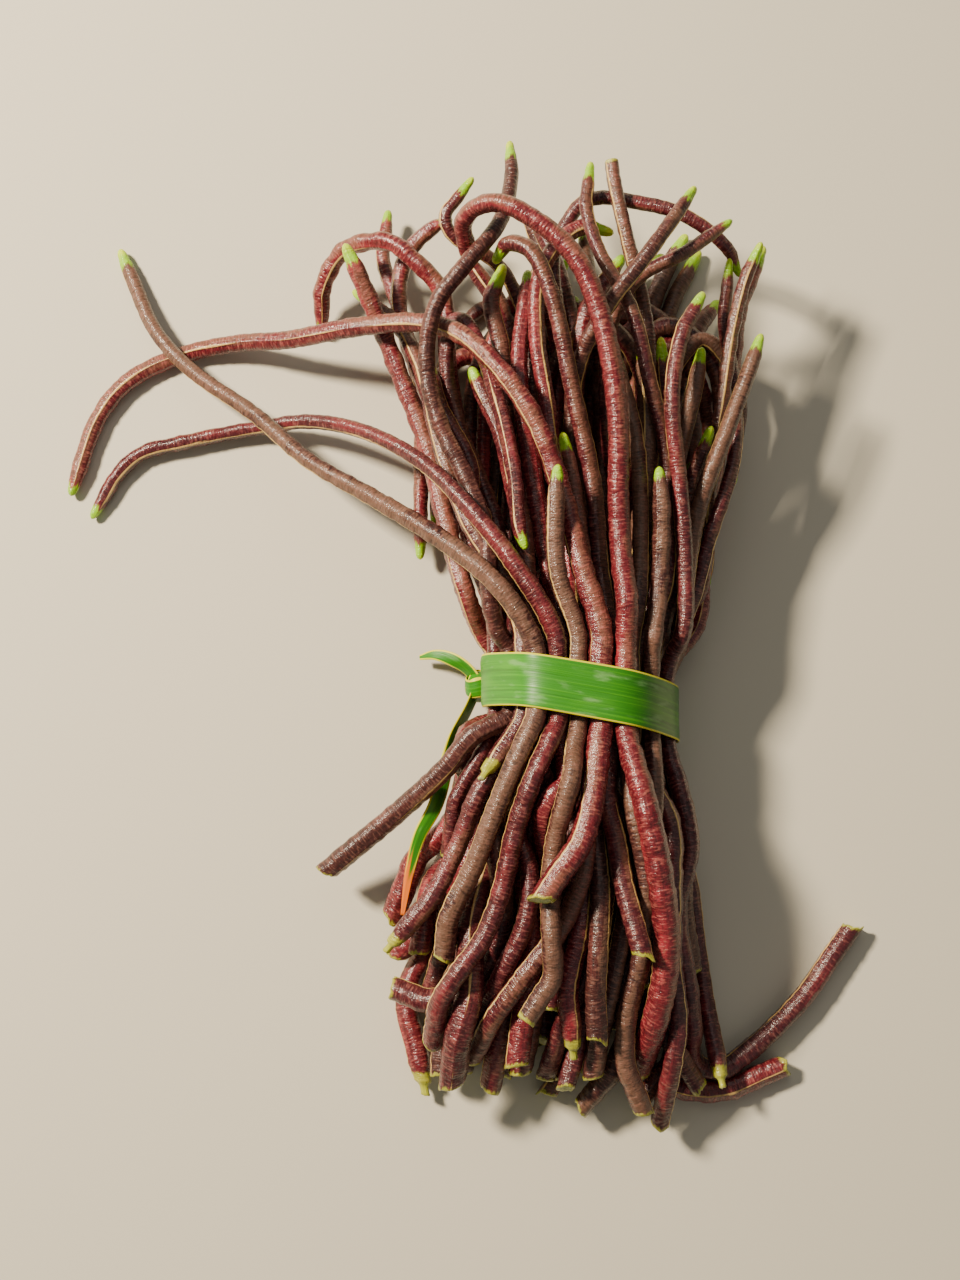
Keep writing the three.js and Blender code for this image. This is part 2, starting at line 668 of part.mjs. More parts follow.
  let worst = 0;
  for (let step = 0; step < steps; step++) {
    const share = step / steps;
    const size = grow ? Math.min(1, 0.3 + 1.1 * share) : 1;
    const calm = share > 0.7 ? 0 : 1;
    if (step % FIND_EVERY === 0) findPairs();
    for (let i = 0; i < total; i++) {
      if (!free[i]) continue;
      p[3 * i] += calm * pull * firm[i] * (home[3 * i] - p[3 * i]);
      p[3 * i + 1] += calm * pull * firm[i] * (home[3 * i + 1] - p[3 * i + 1]);
      p[3 * i + 2] += calm * (0.25 * pull * (home[3 * i + 2] - p[3 * i + 2]) - weight);
    }
    if (calm) bend();
    keepLengths();
    worst = separate(size);
    for (let i = 0; i < total; i++) {
      if (free[i]) p[3 * i + 2] = Math.max(p[3 * i + 2], radius[i] + 0.05);
    }
  }
  chains.forEach((chain, c) =>
    chain.points.forEach((point, i) => point.fromArray(p, 3 * (first[c] + i))));
  return worst;
}

// Fewer points where a pod runs straight, more where it turns.
function thinned(chain) {
  const { points, pinned, radii } = chain;
  const keep = [0];
  let run = 0;
  let turned = 0;
  for (let i = 1; i < points.length - 1; i++) {
    const before = points[i].clone().sub(points[i - 1]);
    const after = points[i + 1].clone().sub(points[i]);
    run += before.length();
    turned += before.angleTo(after);
    const tieEdge = pinned[i] !== pinned[i - 1] || pinned[i] !== pinned[i + 1];
    const cost = run / LONGEST_FACET + turned / SHARPEST_TURN;
    if (tieEdge || cost > 1) {
      keep.push(i);
      run = 0;
      turned = 0;
    }
  }
  keep.push(points.length - 1);
  return {
    ...chain,
    points: keep.map((i) => points[i].clone()),
    pinned: keep.map((i) => pinned[i]),
    radii: keep.map((i) => radii[i]),
  };
}

// Rings of vertices around a chain, as [centre, radius] pairs: a slight neck at the stem end, and
// a taper at the blossom tip.
function podRings(chain) {
  const { points, radii } = chain;
  const neckway = points[1].clone().sub(points[0]);
  const neck = Math.min(NECK_LENGTH, 0.7 * neckway.length());
  neckway.setLength(neck).add(points[0]);
  const rings = [[points[0].clone(), 0.8 * radii[1]], [neckway, radii[1]]];
  for (let i = 1; i < points.length; i++) rings.push([points[i].clone(), radii[i]]);
  if (chain.blunt) return rings;
  const radius = radii[radii.length - 1];
  const last = rings.pop()[0];
  const direction = last.clone().sub(rings[rings.length - 1][0]);
  const back = Math.min(TIP_LENGTH, 0.8 * direction.length());
  direction.normalize();
  for (const [share, size] of [[1, 0.97], [0.42, 0.78], [0.08, 0.42]]) {
    rings.push([last.clone().addScaledVector(direction, -share * back), radius * size]);
  }
  return rings;
}

// One closed pod: rings carried along without twist, and a point in the middle of each end.
function podGeometry(chain) {
  const sides = chain.shown ? SHOWN_SIDES : HIDDEN_SIDES;
  const rings = podRings(chain);
  const tangents = rings.map(([centre], i) => {
    const ahead = rings[Math.min(i + 1, rings.length - 1)][0];
    const behind = rings[Math.max(i - 1, 0)][0];
    return ahead.clone().sub(centre).normalize().add(centre.clone().sub(behind).normalize()).normalize();
  });
  const side = new THREE.Vector3(0, 0, 1).cross(tangents[0]).normalize();
  const positions = [];
  rings.forEach(([centre, radius], i) => {
    side.addScaledVector(tangents[i], -side.dot(tangents[i])).normalize();
    const up = tangents[i].clone().cross(side);
    for (let k = 0; k < sides; k++) {
      const angle = (2 * Math.PI * (k + 0.5)) / sides;
      const vertex = centre.clone().addScaledVector(side, radius * Math.cos(angle));
      positions.push(vertex.addScaledVector(up, radius * Math.sin(angle)));
    }
  });
  const final = rings.length - 1;
  const stemMiddle = positions.push(rings[0][0].clone()) - 1;
  const nub = chain.blunt ? 0 : 1.2;
  const tipMiddle = positions.push(rings[final][0].clone().addScaledVector(tangents[final], nub)) - 1;
  const index = [];
  for (let k = 0; k < sides; k++) {
    const next = (k + 1) % sides;
    index.push(stemMiddle, next, k);
    for (let i = 0; i < final; i++) {
      const a = i * sides + k;
      const b = i * sides + next;
      index.push(a, b, b + sides, a, b + sides, a + sides);
    }
    index.push(tipMiddle, final * sides + k, final * sides + next);
  }
  return new THREE.BufferGeometry().setFromPoints(positions).setIndex(index);
}

// The outline that a strap pulled round the pods takes: a convex loop of [x, height].
function tieOutline(seats, offset) {
  const lines = [];
  for (let k = 0; k < TIE_CORNERS; k++) {
    const angle = (2 * Math.PI * k) / TIE_CORNERS;
    const nx = Math.cos(angle);
    const nz = Math.sin(angle);
    const reach = Math.max(...seats.map((s) => s.x * nx + s.z * nz + s.radius)) + offset;
    lines.push({ nx, nz, reach });
  }
  return lines.map((line, k) => {
    const next = lines[(k + 1) % TIE_CORNERS];
    const determinant = line.nx * next.nz - line.nz * next.nx;
    const x = (line.reach * next.nz - next.reach * line.nz) / determinant;
    const z = (line.nx * next.reach - next.nx * line.reach) / determinant;
    return new THREE.Vector2(x, z);
  });
}

// Where the left flank of an outline lies at a height.
function leftFlank(outline, height) {
  let flank = 0;
  outline.forEach((from, k) => {
    const to = outline[(k + 1) % outline.length];
    if ((from.y - height) * (to.y - height) > 0) return;
    const share = (height - from.y) / (to.y - from.y || 1);
    flank = Math.min(flank, THREE.MathUtils.lerp(from.x, to.x, share));
  });
  return flank;
}

// The band of the tie: the loop between two outlines, extruded along the pods.
function bandGeometry(seats) {
  const shape = new THREE.Shape(tieOutline(seats, TIE_CLEARANCE + TIE_THICKNESS));
  shape.holes.push(new THREE.Path(tieOutline(seats, TIE_CLEARANCE).reverse()));
  const depth = TIE_WIDTH * Math.hypot(1, TIE_SLOPE);
  const band = new THREE.ExtrudeGeometry(shape, { depth, bevelEnabled: false });
  band.translate(0, 0, -depth / 2);
  const skewed = new THREE.Vector3(1, -TIE_SLOPE, 0);
  const up = new THREE.Vector3(0, 0, 1);
  return band.applyMatrix4(new THREE.Matrix4().makeBasis(skewed, up, new THREE.Vector3(0, -1, 0)));
}

// A loose end of the tie: a thin strip that narrows to its end and turns a little on the way.
function tailGeometry(tail) {
  const curve = new THREE.CatmullRomCurve3(tail.points, false, "centripetal");
  const rings = 12;
  const positions = [];
  for (let i = 0; i <= rings; i++) {
    const share = i / rings;
    const centre = curve.getPointAt(share);
    const tangent = curve.getTangentAt(share);
    const across = new THREE.Vector3(0, 0, 1).cross(tangent).normalize();
    const turn = THREE.MathUtils.lerp(1.1, 0.35, Math.min(1, 2 * share));
    across.applyAxisAngle(tangent, turn);
    const normal = tangent.clone().cross(across);
    const width = THREE.MathUtils.lerp(tail.width, tail.end, share ** 2);
    for (const [a, b] of [[-0.5, -0.5], [0.5, -0.5], [0.5, 0.5], [-0.5, 0.5]]) {
      const corner = centre.clone().addScaledVector(across, a * width);
      positions.push(corner.addScaledVector(normal, b * TAIL_THICKNESS));
    }
  }
  const index = [0, 2, 1, 0, 3, 2];
  for (let i = 0; i < rings; i++) {
    for (let k = 0; k < 4; k++) {
      const a = 4 * i + k;
      const b = 4 * i + ((k + 1) % 4);
      index.push(a, b, b + 4, a, b + 4, a + 4);
    }
  }
  const end = 4 * rings;
  index.push(end, end + 1, end + 2, end, end + 2, end + 3);
  return new THREE.BufferGeometry().setFromPoints(positions).setIndex(index);
}

function solidOf(geometry) {
  const bare = new THREE.BufferGeometry().setIndex(geometry.index);
  bare.setAttribute("position", geometry.getAttribute("position"));
  const merged = mergeVertices(bare, 1e-4);
  const vertProperties = merged.getAttribute("position").array;
  const triVerts = new Uint32Array(merged.getIndex().array);
  return new wasm.Manifold(new wasm.Mesh({ numProp: 3, vertProperties, triVerts }));
}

function geometryOf(solid) {
  const { vertProperties, triVerts } = solid.getMesh();
  const geometry = new THREE.BufferGeometry();
  geometry.setAttribute("position", new THREE.BufferAttribute(vertProperties, 3));
  return geometry.setIndex(new THREE.BufferAttribute(triVerts, 1));
}

const wasm = await Module();
wasm.setup();

const seats = waistSeats(SHOWN, POD_COUNT);
const flank = leftFlank(tieOutline(seats, TIE_CLEARANCE + TIE_THICKNESS), KNOT.height);
const knot = inTie(flank - KNOT_RADII[0] + KNOT.sunk, KNOT.height);
const tails = TAILS.map((tail) => ({ ...tail, points: [knot.clone(), ...tail.route.map(placed)] }));
const obstacles = tails.map((tail) => fixedChain(tail.points, tail.width / 2 + 0.3));
obstacles.push(fixedChain([knot.clone(), knot.clone().setY(knot.y + 1)], Math.max(...KNOT_RADII) + 1));

let chains = seats.map((seat, i) => chainOf(SHOWN[i] || hiddenRoute(seat), seat));
const grown = settle([...chains, ...obstacles], SETTLE_STEPS, {
  grow: true,
  pull: 0.02,
  weight: 0.05,
  stiffness: 0.35,
});
chains = chains.map(thinned);
const trimmed = settle([...chains, ...obstacles], TRIM_STEPS, {
  grow: false,
  pull: 0.004,
  weight: 0,
  stiffness: 0.1,
});
if (Math.max(grown, trimmed) > GAP + 0.1) throw new Error("the pods have not settled clear of each other");

const bunch = new THREE.Group();
chains.forEach((chain, i) => {
  const pod = new THREE.Mesh(
    podGeometry(chain),
    new THREE.MeshStandardMaterial({ color: COLOURS[i % COLOURS.length], roughness: 0.38, metalness: 0 }),
  );
  pod.name = `pod_${String(i + 1).padStart(2, "0")}`;
  bunch.add(pod);
});

const knotLump = new THREE.IcosahedronGeometry(1, 1).scale(...KNOT_RADII).translate(...knot.toArray());
let tieSolid = solidOf(bandGeometry(seats)).add(solidOf(knotLump));
for (const tail of tails) tieSolid = tieSolid.add(solidOf(tailGeometry(tail)));
const tie = new THREE.Mesh(
  geometryOf(tieSolid),
  new THREE.MeshStandardMaterial({ color: LEAF_COLOUR, roughness: 0.42, metalness: 0 }),
);
tie.name = "leaf_tie";
bunch.add(tie);

const bounds = new THREE.Box3().setFromObject(bunch);
const middle = bounds.getCenter(new THREE.Vector3());
bunch.position.set(-middle.x, -middle.y, -bounds.min.z);

export default bunch;
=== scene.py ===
"""A bunch of purple yardlong beans tied with a strip of palm leaf, dressed for rendering.

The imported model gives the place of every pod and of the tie. Each pod is swept again around the
middle line of its solid as a fine, seed-bumped skin, and the tie is rebuilt as strips of leaf.
"""

import json
import logging
import math
from dataclasses import dataclass
from enum import Enum

import bpy
import numpy as np
from mathutils import Matrix, Vector

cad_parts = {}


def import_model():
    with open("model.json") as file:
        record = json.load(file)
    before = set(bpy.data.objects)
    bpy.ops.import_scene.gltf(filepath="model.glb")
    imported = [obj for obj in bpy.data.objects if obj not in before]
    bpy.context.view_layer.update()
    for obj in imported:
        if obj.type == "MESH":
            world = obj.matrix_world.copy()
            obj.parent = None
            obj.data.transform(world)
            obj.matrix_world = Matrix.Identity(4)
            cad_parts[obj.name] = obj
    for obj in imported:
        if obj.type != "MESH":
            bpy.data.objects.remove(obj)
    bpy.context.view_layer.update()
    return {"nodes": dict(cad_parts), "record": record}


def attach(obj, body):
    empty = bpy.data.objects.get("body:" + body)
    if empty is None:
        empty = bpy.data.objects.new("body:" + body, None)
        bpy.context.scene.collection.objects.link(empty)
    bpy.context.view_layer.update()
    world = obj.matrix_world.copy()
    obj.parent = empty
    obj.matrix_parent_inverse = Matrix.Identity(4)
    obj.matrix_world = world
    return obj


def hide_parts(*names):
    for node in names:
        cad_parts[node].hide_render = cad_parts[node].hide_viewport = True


LOG = logging.getLogger("yardlong_bean_bunch")
MM = 0.001
UP = np.array([0.0, 0.0, 1.0])


def linear(colour: str) -> tuple[float, float, float, float]:
    """Turn an sRGB hex colour into linear RGBA.

    Args:
        colour: The colour as "#rrggbb".

    Returns:
        Linear red, green and blue, and an alpha of one.
    """
    channels = [int(colour[i : i + 2], 16) / 255 for i in (1, 3, 5)]
    turned = [c / 12.92 if c <= 0.04045 else ((c + 0.055) / 1.055) ** 2.4 for c in channels]
    return (*turned, 1.0)


def add_node(
    tree: bpy.types.NodeTree, kind: str, links: dict | None = None, **settings: object
) -> bpy.types.Node:
    """Add a shader node with its settings and links.

    Args:
        tree: The node tree.
        kind: The node's type without its ShaderNode prefix.
        links: Input name or index to an output socket or a plain value.
        **settings: Attributes set on the node itself.

    Returns:
        The new node.
    """
    node = tree.nodes.new(f"ShaderNode{kind}")
    for name, value in settings.items():
        setattr(node, name, value)
    for name, value in (links or {}).items():
        if isinstance(value, bpy.types.NodeSocket):
            tree.links.new(value, node.inputs[name])
        else:
            node.inputs[name].default_value = value
    return node


def empty_material(name: str) -> bpy.types.Material:
    """Make a material whose node tree is still bare.

    Args:
        name: The material's name.

    Returns:
        The material.
    """
    material = bpy.data.materials.new(name)
    material.use_nodes = True
    material.node_tree.nodes.clear()
    return material


def lay_patterns(
    tree: bpy.types.NodeTree, place: bpy.types.NodeSocket, sizes: dict[str, tuple[float, ...]]
) -> dict[str, bpy.types.NodeSocket]:
    """Lay noise over a surface, each pattern at its own size.

    Args:
        tree: The material's node tree.
        place: The surface's own place in millimetres.
        sizes: Pattern name to its size along each axis in millimetres, and how detailed it is.

    Returns:
        Pattern name to a value from 0 to 1.
    """
    marks = {}
    for name, (*lengths, detail) in sizes.items():
        share = tuple(1 / length for length in lengths)
        scaled = add_node(tree, "VectorMath", {0: place, 1: share}, operation="MULTIPLY").outputs[0]
        noise = add_node(tree, "TexNoise", {"Vector": scaled, "Scale": 1.0, "Detail": detail})
        marks[name] = noise.outputs["Fac"]
    return marks


def lay_colours(
    tree: bpy.types.NodeTree,
    body: str,
    layers: tuple[tuple[str, float, float, float, str], ...],
    marks: dict[str, bpy.types.NodeSocket],
) -> bpy.types.NodeSocket:
    """Lay colours over each other, each where its mark says.

    Args:
        tree: The material's node tree.
        body: The colour under the others.
        layers: Each layer's mark, the mark's value where the layer starts and where it is full,
            its strength there, and its colour.
        marks: The marks by name.

    Returns:
        The colour.
    """
    base: tuple | bpy.types.NodeSocket = linear(body)
    for mark, start, full, strength, colour in layers:
        limits = {"Value": marks[mark], "From Min": start, "From Max": full, "To Max": strength}
        share = add_node(tree, "MapRange", limits, interpolation_type="SMOOTHSTEP").outputs["Result"]
        colours = {0: share, 6: base, 7: linear(colour)}
        base = add_node(tree, "Mix", colours, data_type="RGBA").outputs[2]
    return base


class PodColour(Enum):
    """The three looks that the pods of one bunch have."""

    MAROON = "pod_maroon"
    RED = "pod_red"
    BROWN = "pod_brown"


class End(Enum):
    """How an end of a pod finishes."""

    SNAPPED = "snapped across, hollow inside"
    STALKED = "with a stub of its stalk"
    GROWN = "grown to a soft tip"


@dataclass(frozen=True)
class PodSkin:
    """Fresh bean pod skin: waxy plant skin grown over seeds, rinsed and still wet.

    It reads as a dark red skin, dusted brown in patches and painted brown on the side turned from the main
    light as painted shade, whose crosswise wrinkles break up the wet gloss; their crests carry pink bloom
    and a painted highlight, and their furrows painted shade. A cream seam runs along it, and it ends in
    yellow-green.
    """

    slot: PodColour
    body: str
    flush: str
    deep: str
    crest: str
    dust_and_shade_colour: str
    dust_and_shade_share: float
    roughness: float
    wet: float
    seam: str = "#dcb770"
    seam_mm: float = 0.75
    tip: str = "#93c602"
    tip_end: str = "#cfe010"
    rim: str = "#a8ab34"
    flesh: str = "#d5d999"
    wrinkle_mm: float = 0.8
    wrinkle_length_mm: float = 3.0
    fleck_mm: float = 0.8
    relief: tuple[tuple[str, float], ...] = (("wrinkles", 0.9), ("flecks", 0.4), ("streaks", 0.4))
    relief_mm: float = 0.5
    skin_ior: float = 1.45
    water_ior: float = 1.33
    water_roughness: float = 0.13
    # Added to the patches of the brown mark: painted shade on the side turned from the main light, and the
    # wrinkles.
    dust_and_shade_parts: tuple[tuple[str, float], ...] = (("away_from_light", 0.2), ("wrinkles", 0.3))
    ragged_mm: tuple[tuple[str, float], ...] = (
        ("past_tip_mm", 9.0),
        ("past_rim_mm", 4.0),
        ("from_seam_mm", 1.8),
    )
    glint_swing: tuple[float, float] = (0.1, 0.15)

    def build(self) -> bpy.types.Material:
        """Make the material.

        Returns:
            The material, named for the skin and its colour.
        """
        material = empty_material(f"bean_pod_skin_{self.slot.value}")
        tree = material.node_tree
        marks = self.marks(tree)
        relief: float | bpy.types.NodeSocket = 0.0
        for mark, strength in self.relief:
            links = {0: marks[mark], 1: strength, 2: relief}
            relief = add_node(tree, "Math", links, operation="MULTIPLY_ADD").outputs[0]
        links = {"Height": relief, "Strength": 1.0, "Distance": self.relief_mm * MM}
        bump = add_node(tree, "Bump", links).outputs[0]
        shader = add_node(
            tree,
            "BsdfPrincipled",
            {
                "Base Color": self.colour(tree, marks),
                "Roughness": self.dullness(tree, marks),
                "Normal": bump,
                "IOR": self.skin_ior,
                "Coat Weight": self.wet,
                "Coat Roughness": self.water_roughness,
                "Coat IOR": self.water_ior,
                "Coat Normal": bump,
                "Subsurface Weight": 0.05,
                "Subsurface Radius": (0.9 * MM, 0.35 * MM, 0.2 * MM),
                "Subsurface Scale": 1.0,
            },
        )
        add_node(tree, "OutputMaterial", {0: shader.outputs[0]})
        return material

    def marks(self, tree: bpy.types.NodeTree) -> dict[str, bpy.types.NodeSocket]:
        """Lay the skin's patterns over the pod, each sized round it and along it in millimetres.

        The real wrinkles are under a millimetre apart and are drawn a little coarser, to show.

        Args:
            tree: The material's node tree.

        Returns:
            Pattern name to a value from 0 to 1, and the places that the mesh itself marks.
        """
        skin = add_node(tree, "Attribute", attribute_name="skin_mm").outputs["Vector"]
        sizes = {
            "wrinkles": (self.wrinkle_length_mm, self.wrinkle_length_mm, self.wrinkle_mm, 3.0),
            "flecks": (self.fleck_mm, self.fleck_mm, self.fleck_mm, 2.0),
            "streaks": (1.2, 1.2, 26.0, 3.0),
            "patches": (8.0, 8.0, 24.0, 4.0),
            "glints": (2.2, 2.2, 1.3, 2.0),
        }
        marks = lay_patterns(tree, skin, sizes)
        for name in ("away_from_light", "from_seam_mm", "past_tip_mm", "past_rim_mm", "open_end"):
            marks[name] = add_node(tree, "Attribute", attribute_name=name).outputs["Fac"]
        # The brown mark: dusted patches, with painted shade added on the side turned from the main light.
        marks["dust_and_shade"] = marks["patches"]
        for name, weight in self.dust_and_shade_parts:
            links = {0: marks[name], 1: weight, 2: marks["dust_and_shade"]}
            marks["dust_and_shade"] = add_node(tree, "Math", links, operation="MULTIPLY_ADD").outputs[0]
        ragged = add_node(tree, "Math", {0: marks["streaks"], 1: 0.5}, operation="SUBTRACT").outputs[0]
        for name, depth in self.ragged_mm:
            links = {0: ragged, 1: depth, 2: marks[name]}
            marks[name] = add_node(tree, "Math", links, operation="MULTIPLY_ADD").outputs[0]
        return marks

    def colour(
        self, tree: bpy.types.NodeTree, marks: dict[str, bpy.types.NodeSocket]
    ) -> bpy.types.NodeSocket:
        """Lay the skin's colours over each other.

        Args:
            tree: The material's node tree.
            marks: The skin's patterns.

        Returns:
            The colour.
        """
        half_seam = self.seam_mm / 2
        layers = (
            ("patches", 0.50, 0.66, 0.80, self.flush),
            ("streaks", 0.46, 0.30, 0.55, self.deep),
            # Brown where the skin is dusted, and the same brown as painted shade on the side turned from
            # the main light.
            ("dust_and_shade", 0.72 - self.dust_and_shade_share, 0.84 - self.dust_and_shade_share, 0.80, self.dust_and_shade_colour),
            # Pink bloom on the wrinkle crests, partly a painted highlight, and painted shade darkening the
            # furrows between them.
            ("wrinkles", 0.50, 0.68, 0.55, self.crest),
            ("wrinkles", 0.46, 0.32, 0.50, self.deep),
            ("flecks", 0.40, 0.28, 0.30, self.deep),
            ("from_seam_mm", half_seam + 0.9, half_seam + 0.2, 0.25, self.deep),
            ("from_seam_mm", half_seam + 0.15, half_seam - 0.2, 0.88, self.seam),
            ("past_tip_mm", 3.5, 0.5, 0.55, self.flush),
            ("past_tip_mm", 0.8, -1.6, 1.0, self.tip),
            ("past_tip_mm", -4.0, -9.0, 0.8, self.tip_end),
            ("past_rim_mm", 0.7, -0.5, 0.85, self.rim),
            ("open_end", 0.2, 0.5, 1.0, self.rim),
            ("open_end", 0.6, 0.95, 1.0, self.flesh),
        )
        return lay_colours(tree, self.body, layers, marks)

    def dullness(
        self, tree: bpy.types.NodeTree, marks: dict[str, bpy.types.NodeSocket]
    ) -> bpy.types.NodeSocket:
        """Roughness: wet in patches, duller under the brown of dusted patches and painted shade, and where
        the skin is snapped open.

        Args:
            tree: The material's node tree.
            marks: The skin's patterns.

        Returns:
            The roughness.
        """
        wetter, drier = self.glint_swing
        limits = {
            "Value": marks["glints"],
            "From Min": 0.3,
            "From Max": 0.7,
            "To Min": self.roughness - wetter,
            "To Max": self.roughness + drier,
        }
        dull = add_node(tree, "MapRange", limits).outputs["Result"]
        for mark, start, full, more in (("dust_and_shade", 0.62, 0.85, 0.15), ("open_end", 0.3, 0.8, 0.2)):
            limits = {"Value": marks[mark], "From Min": start, "From Max": full, "To Max": more}
            share = add_node(tree, "MapRange", limits).outputs["Result"]
            dull = add_node(tree, "Math", {0: dull, 1: share}, operation="ADD").outputs[0]
        return dull


@dataclass(frozen=True)
class PalmLeaf:
    """Fresh palm leaflet: a tough green blade split along its veins.

    It reads as smooth, finely veined green with a waxen sheen, pale waxen bloom in patches that is partly
    a painted sheen, yellow margins, and dry orange where the loose end has withered.
    """

    deep: str = "#1b6400"
    bright: str = "#318600"
    vein: str = "#54a404"
    furrow: str = "#164e00"
    wax_and_sheen: str = "#8fbb7c"
    margin: str = "#e0d81c"
    dry: str = "#d86c00"
    vein_mm: float = 1.0
    vein_relief_mm: float = 0.35
    margin_mm: float = 0.7
    leaf_ior: float = 1.45
    roughness: tuple[float, float] = (0.4, 0.52)
    wax_weight: float = 0.25
    wax_roughness: float = 0.28

    def build(self) -> bpy.types.Material:
        """Make the material.

        Returns:
            The leaf material.
        """
        material = empty_material("fresh_palm_leaflet")
        tree = material.node_tree
        place = add_node(tree, "Attribute", attribute_name="leaf_mm").outputs["Vector"]
        sizes = {
            "veins": (90.0, self.vein_mm, 1.0, 2.0),
            "broad": (40.0, 9.0, 1.0, 2.0),
            "wax_and_sheen_patches": (16.0, 4.5, 1.0, 4.0),
        }
        marks = lay_patterns(tree, place, sizes)
        for name in ("dryness", "edge_mm", "tone"):
            marks[name] = add_node(tree, "Attribute", attribute_name=name).outputs["Fac"]
        links = {0: marks["veins"], 1: 1.6, 2: marks["dryness"]}
        marks["dryness"] = add_node(tree, "Math", links, operation="MULTIPLY_ADD").outputs[0]
        layers = (
            # Brighter green by the tone mark; on the band this is painted light, brighter where the main
            # light falls.
            ("tone", 0.0, 1.0, 0.9, self.bright),
            ("broad", 0.5, 0.7, 0.35, self.vein),
            ("veins", 0.52, 0.66, 0.38, self.vein),
            ("veins", 0.46, 0.34, 0.38, self.furrow),
            # Pale waxen bloom in patches, partly a painted sheen.
            ("wax_and_sheen_patches", 0.56, 0.72, 0.36, self.wax_and_sheen),
            ("edge_mm", self.margin_mm + 0.15, self.margin_mm - 0.2, 0.95, self.margin),
            ("dryness", 1.25, 1.6, 1.0, self.dry),
        )
        base = lay_colours(tree, self.deep, layers, marks)
        links = {"Height": marks["veins"], "Strength": 0.6, "Distance": self.vein_relief_mm * MM}
        bump = add_node(tree, "Bump", links).outputs[0]
        limits = {
            "Value": marks["wax_and_sheen_patches"],
            "From Min": 0.35,
            "From Max": 0.7,
            "To Min": self.roughness[0],
            "To Max": self.roughness[1],
        }
        rough = add_node(tree, "MapRange", limits).outputs["Result"]
        shader = add_node(
            tree,
            "BsdfPrincipled",
            {
                "Base Color": base,
                "Roughness": rough,
                "Normal": bump,
                "IOR": self.leaf_ior,
                "Coat Weight": self.wax_weight,
                "Coat Roughness": self.wax_roughness,
                "Subsurface Weight": 0.05,
                "Subsurface Radius": (0.8 * MM, 1.4 * MM, 0.3 * MM),
                "Subsurface Scale": 1.0,
            },
        )
        add_node(tree, "OutputMaterial", {0: shader.outputs[0]})
        return material


def unit(vectors: np.ndarray) -> np.ndarray:
    """Scale each row of an array of vectors to length one."""
    return vectors / np.maximum(np.linalg.norm(vectors, axis=-1, keepdims=True), 1e-12)


def lengths_along(curve: np.ndarray) -> np.ndarray:
    """Distance of each point of a curve from its start."""
    return np.concatenate([[0], np.cumsum(np.linalg.norm(np.diff(curve, axis=0), axis=1))])


def at_places(curve: np.ndarray, places: np.ndarray) -> np.ndarray:
    """Points of a curve at given distances from its start."""
    lengths = lengths_along(curve)
    return np.stack([np.interp(places, lengths, curve[:, k]) for k in range(curve.shape[1])], axis=1)


def smoothed(share: np.ndarray) -> np.ndarray:
    """Turn a share into a soft step from 0 to 1."""
    share = np.clip(share, 0, 1)
    return share * share * (3 - 2 * share)


def solid_points(node: bpy.types.Object) -> tuple[np.ndarray, list[set[int]]]:
    """Merge a solid's doubled vertices.

    Args:
        node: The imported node.

    Returns:
        The points in metres, and for each the points it shares an edge with.
    """
    mesh = node.data
    raw = np.empty(3 * len(mesh.vertices))
    mesh.vertices.foreach_get("co", raw)
    rounded = np.round(raw.reshape(-1, 3) * 1e5).astype(np.int64)
    keys, index = np.unique(rounded, axis=0, return_inverse=True)
    index = index.ravel()
    points = np.zeros((len(keys), 3))
    points[index] = raw.reshape(-1, 3)
    near: list[set[int]] = [set() for _ in keys]
    for edge in mesh.edges:
        a, b = (int(index[v]) for v in edge.vertices)
        if a != b:
            near[a].add(b)
            near[b].add(a)
    return points, near


def layers_from(start: int, near: list[set[int]]) -> list[list[int]]:
    """Sort points into layers by how many edges they are from a start point.

    Args:
        start: The point to start from.
        near: The neighbours of each point.

    Returns:
        The layers, the start's own first.
    """
    seen = {start}
    layer = [start]
    layers = []
    while layer:
        layers.append(layer)
        layer = sorted({n for p in layer for n in near[p]} - seen)
        seen.update(layer)
    return layers


